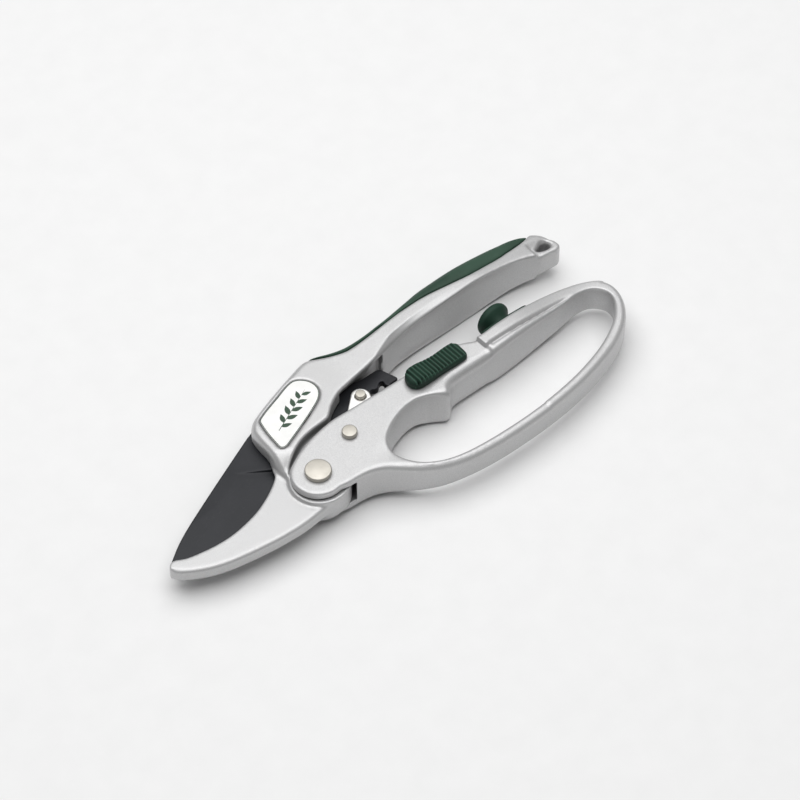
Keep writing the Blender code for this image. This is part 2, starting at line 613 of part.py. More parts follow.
def catch():
    """The thumb pad on top of the ear, riveted through a slot to the steel slide below it."""
    base = EAR_HALF + GAP
    rise = 4.2
    pad = plate("catch_thumb_pad", smooth_loop(PAD_OUTLINE, 3.0), base, base + rise, bevel=0.9)
    saddle = [(51, 0.97), (55, 1.0), (60, 0.82), (65, 0.66), (70, 0.63), (75, 0.66)]
    reshaped(pad, lambda x, y, z: base + (z - base) * between(x, saddle), [x for x, k in saddle])
    blind = base + 1.9
    cut(pad, *[bore(f"pin_room_{x}", (x, y), 1.25, blind, 0, SMALL_RING) for x, y in CATCH_RIVETS])
    block = [Vector(p) for p in ((56.8, 7.2), (67.0, 7.2), (67.0, 12.4), (56.8, 12.4))]
    arm = [Vector(p) for p in ((57.9, 12.0), (60.6, 12.0), (60.6, 17.8), (57.9, 17.8))]
    nose = [Vector(p) for p in ((54.2, 16.4), (60.0, 16.4), (60.0, 17.8), (54.2, 17.8))]
    slide = joined(plate("catch_plate", block, -1.2, 1.2), plate("arm", arm, -1.1, 1.1),
                   plate("nose", nose, -1.0, 1.0))
    cut(slide, *[bore(f"rivet_hole_{x}", (x, y), 1.0 + FIT, sides=SMALL_RING)
                 for x, y in CATCH_RIVETS])
    top = blind - 0.2
    for name, at in zip(("catch_rivet_front", "catch_rivet_rear"), CATCH_RIVETS):
        shape = [(0, top), (1.0, top), (1.0, -1.35), (1.9, -1.35), (1.9, -2.2), (0, -2.2)]
        turned(name, at, shape, SMALL_RING)
    leaf = smooth_loop([(60.0, 6.1, 1), (63.0, 6.9), (66.0, 6.1, 1), (66.0, 6.5, 1), (63.0, 7.05),
                        (60.0, 6.5, 1)], 0.8)
    return plate("catch_detent_spring", leaf, -1.6, 1.6)


# ---------------------------------------------------------------- bumper between the handles

def bumper():
    x, back = 99.5, 9.3 + GAP
    pad = [Vector(p) for p in ((87.4, back), (109.0, back), (109.0, back + 1.1), (87.4, back + 1.1))]
    strip = plate("handle_bumper", pad, -7.8, 7.8, bevel=0.3, segments=1)
    cap = [(0, 10.1), (4.2, 9.9), (6.2, 9.3), (6.9, 8.2), (6.8, 6.9), (5.6, 5.6), (4.5, 4.4),
           (4.0, 3.2), (4.0, 0.4), (0, 0.4)]
    stalk = turned("cap", (x, 0), cap, 32, axis="Y")
    stalk.data.transform(Matrix.Translation((0, back * MM, 0)))
    return joined(strip, stalk)


# ---------------------------------------------------------------- assembly

upper_handle()
grip_inlay()
badge()
blade()
blade_pivot()
lower_handle()
main_pivot()
pawl()
catch()
bumper()

ORIGINS = {
    "blade": BLADE_PIVOT, "lower_handle": MAIN_PIVOT, "handle_bumper": MAIN_PIVOT,
    "catch_detent_spring": MAIN_PIVOT, "pawl_rivet": MAIN_PIVOT,
    "pawl_cheek_upper": PAWL_PIVOT, "pawl_cheek_lower": PAWL_PIVOT, "pawl_sleeve": PAWL_PIVOT,
    "pawl_cross_pin": PAWL_PIVOT, "pawl_spring": PAWL_PIVOT,
}
MATERIALS = {
    "upper_handle": CAST, "lower_handle": CAST, "grip_inlay": GREEN, "badge_plate": BADGE,
    "blade": COATED, "blade_pivot_bolt": NICKEL, "blade_pivot_nut": NICKEL,
    "blade_washer_upper": BRONZE, "blade_washer_lower": BRONZE, "main_pivot_pin": NICKEL,
    "main_pivot_bush": BRONZE, "opening_spring": SPRING, "pawl_cheek_upper": BRIGHT,
    "pawl_cheek_lower": BRIGHT, "pawl_cross_pin": NICKEL, "pawl_rivet": NICKEL,
    "pawl_sleeve": SPRING, "pawl_spring": SPRING, "catch_thumb_pad": GREEN, "catch_plate": BRIGHT,
    "catch_rivet_front": NICKEL, "catch_rivet_rear": NICKEL, "catch_detent_spring": SPRING,
    "handle_bumper": GREEN,
}

for name, finish in MATERIALS.items():
    piece = bpy.data.objects[name]
    piece.data.materials.clear()
    piece.data.materials.append(finish)
    origin = ORIGINS.get(name, Vector((0, 0)))
    at = Vector((origin.x, origin.y, 0)) * MM
    piece.data.transform(Matrix.Translation(-at))
    piece.parent = BASE
    piece.location = at
    piece.data.shade_smooth()
    piece.data.set_sharp_from_angle(angle=math.radians(35))
bpy.context.view_layer.update()
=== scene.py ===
"""Looks of a ratchet pruner with a hooked jaw.

The castings, the blade and the soft parts are modelled as distance fields on a grid and meshed
here, so that every edge has the rounding of a real casting or moulding. All lengths are in
millimetres in the plane of the tool, measured from the main pivot: +X towards the handle ends, +Y
towards the upper handle, and heights from the blade's middle plane.
"""
import json
import math

import bpy
import numpy as np
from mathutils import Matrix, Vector


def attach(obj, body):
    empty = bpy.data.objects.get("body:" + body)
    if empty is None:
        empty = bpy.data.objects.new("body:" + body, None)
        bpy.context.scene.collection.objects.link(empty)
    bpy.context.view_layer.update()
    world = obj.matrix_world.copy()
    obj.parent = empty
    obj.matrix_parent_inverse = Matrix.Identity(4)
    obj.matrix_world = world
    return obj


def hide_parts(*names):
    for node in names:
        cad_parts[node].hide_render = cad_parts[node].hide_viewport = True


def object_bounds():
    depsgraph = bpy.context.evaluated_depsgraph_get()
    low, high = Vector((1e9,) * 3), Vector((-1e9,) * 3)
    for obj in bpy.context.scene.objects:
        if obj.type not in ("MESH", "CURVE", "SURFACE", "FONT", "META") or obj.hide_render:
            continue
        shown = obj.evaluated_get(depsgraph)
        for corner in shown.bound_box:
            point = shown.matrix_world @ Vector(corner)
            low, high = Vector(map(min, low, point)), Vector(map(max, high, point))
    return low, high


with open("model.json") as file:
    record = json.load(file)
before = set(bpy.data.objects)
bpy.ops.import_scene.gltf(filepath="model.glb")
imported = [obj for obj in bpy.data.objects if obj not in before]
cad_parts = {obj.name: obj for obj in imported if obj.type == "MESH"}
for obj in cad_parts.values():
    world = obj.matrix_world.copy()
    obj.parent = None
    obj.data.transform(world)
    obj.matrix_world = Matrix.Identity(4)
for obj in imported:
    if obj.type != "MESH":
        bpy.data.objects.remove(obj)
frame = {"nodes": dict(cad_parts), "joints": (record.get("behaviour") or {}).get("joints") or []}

CAD_BOX = [list(corner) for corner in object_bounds()]
MM = 0.001
JOINTS = {joint["name"]: joint for joint in frame["joints"]}
PIVOT = Vector(JOINTS["handle_hinge"]["pos_m"])


def in_tool(joint):
    """A hinge's place in the plane of the tool."""
    at = (Vector(JOINTS[joint]["pos_m"]) - PIVOT) / MM
    return (at.x, at.y)


BLADE_PIVOT = in_tool("blade_hinge")
PAWL_PIVOT = in_tool("pawl_hinge")
PAWL_PIN = (36.6, 19.4)

# Half heights of the pieces and of the rooms for them, as in the frame.
BLADE_HALF = 1.5
SLOT_HALF = 1.8
SPRING_ROOM_HALF = 2.7
WASHER_ROOM_HALF = 2.8
HOOK_HALF = 2.9
PAWL_HALF = 3.8
TONGUE_HALF = 4.5
EAR_INNER_HALF = 4.65
POCKET_HALF = 4.8
NUT_SEAT = 5.2
BOLT_SEAT = 6.0
RECESS_HALF = 6.8
EAR_HALF = 7.8
HEAD_HALF = 8.6
REST_HALF = 9.6

# Radii of the pivots: bores, the rooms round them, rivets and the ends of the ratchet link.
MAIN_BORE = 2.95
BUSH_BORE = 4.05
SPRING_ROOM = 7.2
TONGUE_RADIUS = 11.2
EAR_RADIUS = 10.0
POCKET_RADIUS = 13.6
BLADE_BORE = 3.15
BOLT_HEAD_ROOM = 5.2
NUT_ROOM = 5.6
WASHER_ROOM = 6.3
PAWL_BORE = 1.95
CROSS_PIN_BORE = 2.0
CROSS_PIN = 1.85
MAIN_SHAFT = 2.8
MAIN_HEAD = 4.8
PAWL_SHAFT = 1.8
PAWL_HEAD = 2.8
LINK_EYE = 5.2
LINK_NOSE = 3.6

# Clearances between pieces, and depths of steps.
GAP = 0.3
EAR_CLEARANCE = 0.6
RIVET_CLEARANCE = 0.12
SEAM_GAP = 0.25
BADGE_CLEARANCE = 0.38
BADGE_THICK = 0.7
INLAY_STEP = 0.35

# The blade's edge and the groove for it reach into the hook; their edge is not quite sharp.
EDGE_DEPTH = 1.7
GROOVE_DEPTH = 2.2
EDGE_HALF = 0.14

# Where the soft inlay starts and ends.
INLAY_START = 29.4
INLAY_END = 136.6

# The badge's printed border, and its sprig: leaf width is a share of leaf length.
BORDER_INSET = 0.24
BORDER_HALF = 0.14
LEAF_COUNT = 9
LEAF_PITCH = 2.05
LEAF_LENGTH = 4.6
LEAF_WIDTH = 0.22

# The step up on the lower handle behind the thumb pad, steep on its far side and gentle on its
# near side, and the notch for the catch in the blade.
STEP_X = 83.2
NEAR_STEP_X = 83.0
CATCH_NOTCH = (49.6, 17.1)
CATCH_NOTCH_HALF = 1.1

# The thumb pad's ribs: the first hollow, the pitch, the depth and the heights of their flanks.
RIB_START = 52.2
RIB_PITCH = 1.62
RIB_DEPTH = 0.75
RIB_FLANK = (10.2, 10.6)

# The bumper's cap, on its strip.
CAP_X = 99.5
CAP_BACK = 9.2
STRIP_X = 98.1
STRIP_HALF = 11.0

# Grid steps for the meshes, and the sides of a turned piece.
CASTING_GRID = 0.42
BODY_GRID = 0.3
PAD_GRID = 0.15
TURNED_SIDES = 96

# ---------------------------------------------------------------- outlines

LIP = [(-61.0, 6.6), (-56.4, 4.4), (-50.8, 3.0), (-44.6, 2.0), (-37.8, 1.8), (-30.2, 2.8),
       (-23.6, 4.5), (-16.2, 7.8), (-10.4, 11.6), (-7.6, 15.6)]
HOOK_OUTER = [(-2.0, -10.2), (-8.0, -11.0), (-16.0, -11.5), (-25.6, -10.9), (-34.0, -9.7),
              (-40.0, -8.6), (-46.0, -7.2), (-52.0, -5.1), (-57.2, -2.4), (-61.2, 0.4)]
HOOK_NOSE = [(-63.4, 3.0), (-63.3, 5.2)]
HEAD_FAR = [(-6.9, 20.0), (-6.4, 26.0), (-5.3, 30.2), (-2.6, 33.2), (1.4, 35.2), (7.0, 37.2),
            (14.0, 39.4), (21.0, 41.4), (27.0, 42.9), (30.6, 43.0)]
GRIP_FAR = [(34.0, 41.9), (38.5, 40.4), (43.0, 39.3), (48.0, 38.8), (54.0, 38.8), (60.0, 39.3),
            (66.0, 40.2), (72.0, 41.2), (77.0, 42.0), (83.0, 42.9), (91.0, 43.2), (98.0, 43.2),
            (105.0, 42.9), (111.0, 42.6), (117.0, 42.0), (122.0, 41.2), (127.0, 40.2),
            (131.0, 38.9)]
HANDLE_END = [(135.0, 37.1), (138.0, 35.0), (140.2, 31.8), (140.9, 28.2), (140.8, 25.4),
              (139.0, 24.3), (136.0, 24.5)]
GRIP_NEAR = [(131.0, 25.2), (127.0, 26.6), (122.5, 27.7), (116.0, 28.6), (103.0, 29.3),
             (88.0, 29.3), (73.0, 29.1), (62.0, 28.2), (53.0, 26.6), (45.0, 25.3), (37.0, 24.3),
             (29.5, 23.0), (23.8, 20.2), (19.2, 16.8)]
HEAD_STEP = [(17.2, 16.4, 1), (11.0, 16.1), (5.4, 15.1), (0.2, 12.9), (-4.6, 10.1),
             (-7.4, 8.0, 1), (-8.2, 11.4), (-7.6, 15.6)]
INLAY_EDGE = [(29.0, 43.4), (33.5, 40.4), (38.5, 37.8), (43.6, 35.9), (48.4, 35.5), (53.1, 35.6),
              (58.2, 35.9), (63.5, 36.3), (68.7, 36.7), (73.8, 36.8), (78.7, 36.8), (83.4, 36.5),
              (87.9, 35.9), (92.2, 35.2), (96.6, 34.5), (101.0, 33.8), (105.8, 33.5),
              (110.8, 33.5), (116.0, 33.5), (121.4, 33.9), (127.0, 34.3), (131.6, 35.0),
              (134.8, 36.3), (136.6, 37.8)]
LOWER_OUTER = [(5.0, -10.5), (10.0, -11.0), (15.0, -12.1), (19.6, -14.4), (24.3, -18.4),
               (29.5, -22.7), (36.5, -26.7), (46.0, -29.6), (58.0, -31.2), (72.0, -31.75),
               (87.0, -31.4), (101.0, -29.9), (113.0, -27.3), (123.2, -23.9), (131.7, -19.1),
               (137.0, -13.8), (140.2, -8.0), (141.0, -2.6), (139.4, 1.5), (135.2, 4.6),
               (129.3, 6.9), (119.5, 8.7), (107.0, 9.3), (94.0, 9.2), (84.0, 9.0), (79.5, 11.2),
               (74.0, 13.5), (62.0, 13.9), (49.5, 13.9), (37.0, 14.5), (27.0, 15.0),
               (18.3, 15.3), (8.0, 13.7), (0.6, 11.4)]
FINGER_LOOP = [(26.6, -11.0), (27.2, -7.4), (29.2, -4.4), (32.6, -1.8), (37.4, 0.5),
               (43.0, 2.1), (48.0, 2.3), (52.2, 1.0), (55.6, -1.0), (58.3, -3.1), (60.2, -3.7),
               (61.8, -2.5), (64.2, -0.8), (68.0, -0.4), (76.0, -0.5), (86.0, -0.6), (96.0, -0.2),
               (106.0, 0.4), (117.0, 1.1), (127.0, 1.8), (132.5, 0.8), (135.8, -2.3),
               (136.5, -5.8), (134.5, -10.2), (129.4, -15.2), (120.5, -19.9), (111.0, -23.2),
               (99.0, -25.9), (84.0, -27.5), (68.0, -27.7), (51.0, -26.5), (40.0, -24.2),
               (33.0, -20.8), (28.6, -16.2)]
BLADE_SPINE = [(-61.0, 7.5), (-54.4, 11.6), (-48.0, 14.8), (-30.0, 22.6), (-19.0, 27.2),
               (-5.0, 33.0)]
BADGE_OUTLINE = [(-3.0, 17.4), (-2.0, 16.2), (0.2, 16.4), (20.2, 24.4), (24.4, 28.0),
                 (25.0, 32.5), (22.8, 36.2), (19.3, 37.6), (10.6, 35.2), (1.6, 32.3), (-0.9, 30.6)]
PAD_OUTLINE = [(50.0, 9.4), (50.2, 6.8), (52.0, 5.0), (55.4, 4.5), (64.0, 4.5), (73.0, 4.3),
               (75.2, 5.0), (75.8, 8.6), (75.6, 11.6), (73.6, 12.8), (64.0, 12.7), (55.0, 13.0),
               (51.8, 12.4)]
HANG_HOLE = [(131.6, 29.0), (133.7, 30.3), (136.1, 31.1), (137.8, 30.4), (138.6, 28.8),
             (138.4, 27.3), (137.1, 26.7), (134.7, 26.8), (132.6, 27.6)]


def smooth_loop(points, step=0.8, closed=True):
    """A smooth curve through the points. A point with a third value is a corner."""
    spots = [Vector(p[:2]) for p in points]
    corner = [len(p) > 2 for p in points]
    count = len(spots)
    line = []
    for i in range(count if closed else count - 1):
        here, there = spots[i], spots[(i + 1) % count]
        before = here if corner[i] or (i == 0 and not closed) else spots[i - 1]
        last = not closed and i == count - 2
        after = there if corner[(i + 1) % count] or last else spots[(i + 2) % count]
        span = (there - here).length
        leave = (there - before) * (span / max((there - before).length, 1e-6))
        reach = (after - here) * (span / max((after - here).length, 1e-6))
        pieces = max(1, round(span / step))
        for k in range(pieces):
            t = k / pieces
            line.append(here * (2 * t**3 - 3 * t**2 + 1) + leave * (t**3 - 2 * t**2 + t)
                        + there * (3 * t**2 - 2 * t**3) + reach * (t**3 - t**2))
    if not closed:
        line.append(spots[-1])
    return np.array([tuple(p) for p in line])


def arc(centre, radius, start, end, count):
    """Points along a circle, from one angle to the other in degrees."""
    angles = np.radians(np.linspace(start, end, count + 1))
    return [(centre[0] + radius * math.cos(a), centre[1] + radius * math.sin(a)) for a in angles]


# ---------------------------------------------------------------- distance fields

class Block:
    """A block of space on a regular grid, in which distances are worked out."""

    def __init__(self, low, high, step):
        self.low = np.array(low, float)
        self.step = np.array(step if hasattr(step, "__len__") else (step,) * 3, float)
        axes = [np.arange(a, b + s, s) for a, b, s in zip(low, high, self.step)]
        self.x, self.y = (g[..., None] for g in np.meshgrid(axes[0], axes[1], indexing="ij"))
        self.z = axes[2][None, None, :]

    def inside(self, loop):
        """Distance in the plane to a closed loop, negative inside it."""
        loop = np.asarray(loop, float)
        best = np.full(self.x.shape, 1e9)
        within = np.zeros(self.x.shape, bool)
        for (ax, ay), (bx, by) in zip(loop, np.roll(loop, -1, 0)):
            ex, ey = bx - ax, by - ay
            size = ex * ex + ey * ey
            if size < 1e-12:
                continue
            wx, wy = self.x - ax, self.y - ay
            t = np.clip((wx * ex + wy * ey) / size, 0, 1)
            best = np.minimum(best, (wx - ex * t)**2 + (wy - ey * t)**2)
            if ay != by:
                within ^= ((ay > self.y) != (by > self.y)) & (wx < ex * wy / ey)
        return np.where(within, -1, 1) * np.sqrt(best)

    def disc(self, centre, radius):
        """Distance in the plane to a circle, negative inside it."""
        return np.hypot(self.x - centre[0], self.y - centre[1]) - radius

    def slab(self, flat, half, setback, drop=None):
        """A plate with its edges rounded: the curve starts setback in and drop below the top."""
        drop = setback if drop is None else drop
        across = flat + setback
        up = (np.abs(self.z) - half + drop) * (setback / drop)
        return (np.minimum(np.maximum(across, up), 0)
                + np.hypot(np.maximum(across, 0), np.maximum(up, 0)) - setback)


def union(a, b, k):
    """Both shapes, with a fillet of size k where they meet."""
    h = np.maximum(k - np.abs(a - b), 0) / k
    return np.minimum(a, b) - h * h * k / 4


def common(a, b, k):
    """What two shapes share, with its new edges eased."""
    return -union(-a, -b, k)


def without(a, b, k):
    """One shape cut out of another, with the cut's edges eased."""
    return -union(-a, b, k)


def table(x, pairs, soft=0.0):
    """Reads (place, value) pairs, straight between neighbours or softened over a span."""
    places, numbers = zip(*pairs)
    if not soft:
        return np.interp(x, places, numbers)
    return sum(np.interp(x + soft * k / 4, places, numbers) for k in range(-4, 5)) / 9


def ease(t):
    """Zero below 0, one above 1, and a smooth curve between them."""
    t = np.clip(t, 0, 1)
    return t * t * (3 - 2 * t)


def surface(values, block):
    """The surface where a field is zero, as points in millimetres and quads facing out."""
    values = np.broadcast_to(values, np.broadcast_shapes(values.shape, block.x.shape,
                                                         block.z.shape)).astype(np.float32)
    inside = values < 0
    shape = tuple(n - 1 for n in values.shape)
    corners = [(i, j, k) for i in (0, 1) for j in (0, 1) for k in (0, 1)]
    count = np.zeros(shape, np.uint8)
    for i, j, k in corners:
        count += inside[i:i + shape[0], j:j + shape[1], k:k + shape[2]]
    cells = np.argwhere((count > 0) & (count < 8))
    index = np.full(shape, -1, np.int64)
    index[tuple(cells.T)] = np.arange(len(cells))
    # A cell's point is the middle of the places where the surface crosses its edges.
    total = np.zeros((len(cells), 3))
    hits = np.zeros(len(cells))
    for a in corners:
        for axis in range(3):
            if a[axis]:
                continue
            b = tuple(v + (n == axis) for n, v in enumerate(a))
            va = values[tuple((cells + a).T)]
            vb = values[tuple((cells + b).T)]
            crossed = (va < 0) != (vb < 0)
            t = np.where(crossed, va / np.where(crossed, va - vb, 1), 0)
            spot = np.tile(np.array(a, float), (len(cells), 1))
            spot[:, axis] += t
            total += spot * crossed[:, None]
            hits += crossed
    points = (cells + total / hits[:, None]) * block.step + block.low
    # Where the surface crosses a grid edge, a quad joins the points of the four cells round it.
    quads = []
    for axis in range(3):
        u, v = (axis + 1) % 3, (axis + 2) % 3
        low = np.take(inside, range(values.shape[axis] - 1), axis)
        high = np.take(inside, range(1, values.shape[axis]), axis)
        edges = np.argwhere(low != high)
        edges = edges[(edges[:, u] > 0) & (edges[:, v] > 0)
                      & (edges[:, u] < shape[u]) & (edges[:, v] < shape[v])]
        back_u, back_v = np.eye(3, dtype=int)[u], np.eye(3, dtype=int)[v]
        ring = [index[tuple((edges - move).T)] for move in (0, back_u, back_u + back_v, back_v)]
        quad = np.stack(ring, 1)
        outward = low[tuple(edges.T)]
        quads.append(np.where(outward[:, None], quad, quad[:, ::-1]))
    return points, np.concatenate(quads)


def polished(points, quads, rounds=1):
    """Moves each point half way to the middle of its neighbours, which evens out the grid."""
    for _ in range(rounds):
        total = np.zeros_like(points)
        hits = np.zeros(len(points))
        for k in range(4):
            here, there = quads[:, k], quads[:, (k + 1) % 4]
            for a, b in ((here, there), (there, here)):
                np.add.at(total, a, points[b])
                np.add.at(hits, a, 1)
        points = points * 0.5 + total / hits[:, None] * 0.5
    return points


# ---------------------------------------------------------------- pieces

def add_piece(name, points, faces, finish, body, stands_for=()):
    """A mesh object from points in tool millimetres, riding on a body."""
    mesh = bpy.data.meshes.new(name)
    world = np.asarray(points) * MM + np.array(PIVOT)
    mesh.from_pydata(world, [], faces)
    mesh.validate()
    mesh.materials.append(finish)
    mesh.shade_smooth()
    made = bpy.data.objects.new(name, mesh)
    bpy.context.scene.collection.objects.link(made)
    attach(made, body)
    if stands_for:
        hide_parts(*stands_for)
    return made


def add_field(name, field, block, finish, body, stands_for=(), rounds=1, keep=1.0):
    """The surface of a distance field as a piece, with only a share of its faces kept if asked."""
    points, quads = surface(field, block)
    points = polished(points, quads, rounds)
    made = add_piece(name, points, quads, finish, body, stands_for)
    if keep < 1:
        thin = made.modifiers.new("thin", "DECIMATE")
        thin.ratio = keep
        seen = made.evaluated_get(bpy.context.evaluated_depsgraph_get())
        mesh = bpy.data.meshes.new_from_object(seen)
        made.modifiers.clear()
        made.data = mesh
        mesh.shade_smooth()


def add_turned(name, centre, profile, finish, body, stands_for=(), axis="Z"):
    """A profile of (radius, height) pairs, from axis to axis, turned about a line."""
    points = []
    faces = []
    rings = []
    for radius, height in rounded_profile(profile):
        if radius < 1e-6:
            rings.append([len(points)])
            points.append((0, 0, height))
            continue
        rings.append(list(range(len(points), len(points) + TURNED_SIDES)))
        for k in range(TURNED_SIDES):
            angle = 2 * math.pi * k / TURNED_SIDES
            points.append((radius * math.cos(angle), radius * math.sin(angle), height))
    for upper, lower in zip(rings, rings[1:]):
        for k in range(TURNED_SIDES):
            n = (k + 1) % TURNED_SIDES
            if len(upper) == 1:
                faces.append((upper[0], lower[k], lower[n]))
            elif len(lower) == 1:
                faces.append((upper[k], lower[0], upper[n]))
            else:
                faces.append((upper[k], lower[k], lower[n], upper[n]))
    spots = np.array(points, float)
    if axis == "Y":
        spots = np.stack([spots[:, 0], spots[:, 2], -spots[:, 1]], 1)
    spots += np.array(centre, float)
    add_piece(name, spots, faces, finish, body, stands_for)


def rounded_profile(profile):
    """Eases each profile point that has a third value, its rounding radius, with a short arc."""
    line = []
    for i, point in enumerate(profile):
        if len(point) < 3:
            line.append(tuple(point))
            continue
        here = Vector(point[:2])
        before = (Vector(profile[i - 1][:2]) - here).normalized()
        after = (Vector(profile[(i + 1) % len(profile)][:2]) - here).normalized()
        start, end = here + before * point[2], here + after * point[2]
        for k in range(5):
            t = k / 4
            spot = start * (1 - t)**2 + here * 2 * t * (1 - t) + end * t**2
            line.append((spot.x, spot.y))
    return line


# ---------------------------------------------------------------- materials

class Shade:
    """A material's node tree, built up a node at a time."""

    def __init__(self, name):
        self.made = bpy.data.materials.new(name)
        self.made.use_nodes = True
        self.tree = self.made.node_tree
        self.shader = self.tree.nodes["Principled BSDF"]
        self.place = self.add("ShaderNodeTexCoord").outputs["Object"]

    def add(self, kind, **settings):
        """A new node of a kind, with its settings."""
        node = self.tree.nodes.new(kind)
        for key, value in settings.items():
            setattr(node, key, value)
        return node

    def wire(self, source, target):
        """Links an output to an input."""
        self.tree.links.new(source, target)

    def set(self, **values):
        """Sets inputs of the shader; an underscore stands for a space."""
        for key, value in values.items():
            self.shader.inputs[key.replace("_", " ")].default_value = value

    def noise(self, scale, detail=2.0, stretch=(1, 1, 1), rough=0.5):
        """Noise of a given scale per metre."""
        source = self.place
        if tuple(stretch) != (1, 1, 1):
            mapping = self.add("ShaderNodeMapping")
            mapping.inputs["Scale"].default_value = stretch
            self.wire(self.place, mapping.inputs["Vector"])
            source = mapping.outputs["Vector"]
        node = self.add("ShaderNodeTexNoise")
        node.inputs["Scale"].default_value = scale
        node.inputs["Detail"].default_value = detail
        node.inputs["Roughness"].default_value = rough
        self.wire(source, node.inputs["Vector"])
        return node.outputs["Fac"]

    def span(self, value, low, high, to_low=0.0, to_high=1.0):
        """Maps a value from one range to another."""
        node = self.add("ShaderNodeMapRange")
        for key, number in (("From Min", low), ("From Max", high), ("To Min", to_low),
                            ("To Max", to_high)):
            node.inputs[key].default_value = number
        self.wire(value, node.inputs["Value"])
        return node.outputs["Result"]

    def blend(self, factor, a, b):
        """Mixes two colours; each is a colour or the output of another node."""
        node = self.add("ShaderNodeMix", data_type="RGBA")
        self.wire(factor, node.inputs["Factor"])
        for socket, value in ((node.inputs[6], a), (node.inputs[7], b)):
            if isinstance(value, tuple):
                socket.default_value = (*value, 1.0)
            else:
                self.wire(value, socket)
        return node.outputs[2]

    def edges(self, low=0.52, high=0.62):
        """How far a place is a sharp outer edge."""
        return self.span(self.add("ShaderNodeNewGeometry").outputs["Pointiness"], low, high)

    def corners(self, reach, amount):
        """How deep in a corner or a crevice a place is."""
        node = self.add("ShaderNodeAmbientOcclusion", samples=8)
        node.inputs["Distance"].default_value = reach
        return self.span(node.outputs["AO"], 0.75, 0.15, 0.0, amount)

    def times(self, a, b):
        """The product of two values."""
        node = self.add("ShaderNodeMath", operation="MULTIPLY")
        self.wire(a, node.inputs[0])
        self.wire(b, node.inputs[1])
        return node.outputs[0]

    def bump(self, height, strength, distance, under=None):
        """A normal that follows a height, on top of another normal if there is one."""
        node = self.add("ShaderNodeBump")
        node.inputs["Strength"].default_value = strength
        node.inputs["Distance"].default_value = distance
        self.wire(height, node.inputs["Height"])
        if under is not None:
            self.wire(under, node.inputs["Normal"])
        return node.outputs["Normal"]

    def finish(self, colour, roughness=None, normal=None):
        """Wires the results to the shader and gives back the material."""
        self.wire(colour, self.shader.inputs["Base Color"])
        if roughness is not None:
            self.wire(roughness, self.shader.inputs["Roughness"])
        if normal is not None:
            self.wire(normal, self.shader.inputs["Normal"])
        return self.made


def silver_paint():
    """Fine metallic paint on a casting: sparkling flakes and a little orange peel, with painted
    highlights on its sharp edges and painted shade in its crevices.
    """
    s = Shade("silver_paint_look")
    flakes = s.span(s.noise(4400, 2.0), 0.36, 0.66)
    clouds = s.span(s.noise(60, 3.0), 0.35, 0.7)
    colour = s.blend(flakes, (0.485, 0.485, 0.49), (0.60, 0.60, 0.60))
    colour = s.blend(s.span(clouds, 0, 1, 0, 0.2), colour, (0.52, 0.515, 0.51))
    # Painted highlight on the sharp outer edges.
    colour = s.blend(s.span(s.edges(0.56, 0.70), 0, 1, 0, 0.35), colour, (0.78, 0.78, 0.78))
    # Painted shade in crevices, corners and the gaps between parts.
    colour = s.blend(s.corners(0.004, 0.8), colour, (0.08, 0.08, 0.085))
    peel = s.bump(s.noise(700, 2.0), 0.08, 0.0003)
    normal = s.bump(flakes, 0.25, 0.00004, peel)
    s.set(Metallic=0.5, Coat_Weight=0.15, Coat_Roughness=0.25)
    return s.finish(colour, s.span(flakes, 0, 1, 0.46, 0.34), normal)


def coated_steel():
    """Dark low-friction coating on ground steel, with faint marks across the grind."""
    s = Shade("coated_steel_look")
    lines = s.noise(500, 3.0, (1.0, 9.0, 1.0), 0.6)
    fine = s.noise(3200, 1.0)
    patches = s.span(s.noise(70, 4.0), 0.40, 0.70)
    colour = s.blend(patches, (0.015, 0.016, 0.019), (0.026, 0.027, 0.031))
    colour = s.blend(s.span(lines, 0.60, 0.78, 0, 0.35), colour, (0.062, 0.064, 0.070))
    colour = s.blend(s.span(s.edges(0.54, 0.66), 0, 1, 0, 0.7), colour, (0.20, 0.20, 0.21))
    normal = s.bump(fine, 0.12, 0.00006, s.bump(lines, 0.06, 0.0001))
    s.set(Metallic=0.3, Specular_IOR_Level=0.35)
    return s.finish(colour, s.span(patches, 0, 1, 0.40, 0.50), normal)


def plated(name, low, high, roughness, brush=(1.0, 1.0, 1.0)):
    """Plated steel: a soft brushed grain, faint patches of tone and a painted highlight on its
    edges.
    """
    s = Shade(name)
    grain = s.noise(1800, 2.0, brush, 0.6)
    patches = s.span(s.noise(180, 3.0), 0.35, 0.70)
    colour = s.blend(patches, low, high)
    edge_highlight = tuple(min(1.0, c * 1.12) for c in high)
    # Painted highlight on the sharp edges.
    colour = s.blend(s.span(s.edges(), 0, 1, 0, 0.6), colour, edge_highlight)
    s.set(Metallic=0.85)
    return s.finish(colour, s.span(grain, 0.3, 0.7, roughness - 0.05, roughness + 0.09),
                    s.bump(grain, 0.08, 0.00008))


def green_rubber(name, colour_low, colour_high, ribbed=False):
    """Dark green soft plastic: fine moulded grain, a dusty sheen and painted highlights on its
    edges; on a ribbed pad also painted highlights on the crests and painted shade in the grooves.
    """
    s = Shade(name)
    grain = s.noise(3000, 2.0)
    dust = s.span(s.noise(110, 4.0), 0.38, 0.72)
    colour = s.blend(dust, colour_low, colour_high)
    # Lighter colour for the painted highlights on edges and rib crests.
    painted_highlight = tuple(c * 1.9 + 0.012 for c in colour_high)
    colour = s.blend(s.span(s.edges(0.53, 0.64), 0, 1, 0, 0.6), colour, painted_highlight)
    if ribbed:
        # Painted highlights along the crests of the ribs.
        colour = s.blend(rib_crest_highlight(s), colour, painted_highlight)
        # Painted shade in the grooves between the ribs.
        colour = s.blend(s.corners(0.0012, 0.9), colour, tuple(c * 0.25 for c in colour_low))
    normal = s.bump(grain, 0.28, 0.00010, s.bump(s.noise(500, 2.0), 0.10, 0.0002))
    s.set(Specular_IOR_Level=0.3)
    return s.finish(colour, s.span(dust, 0, 1, 0.56, 0.68), normal)


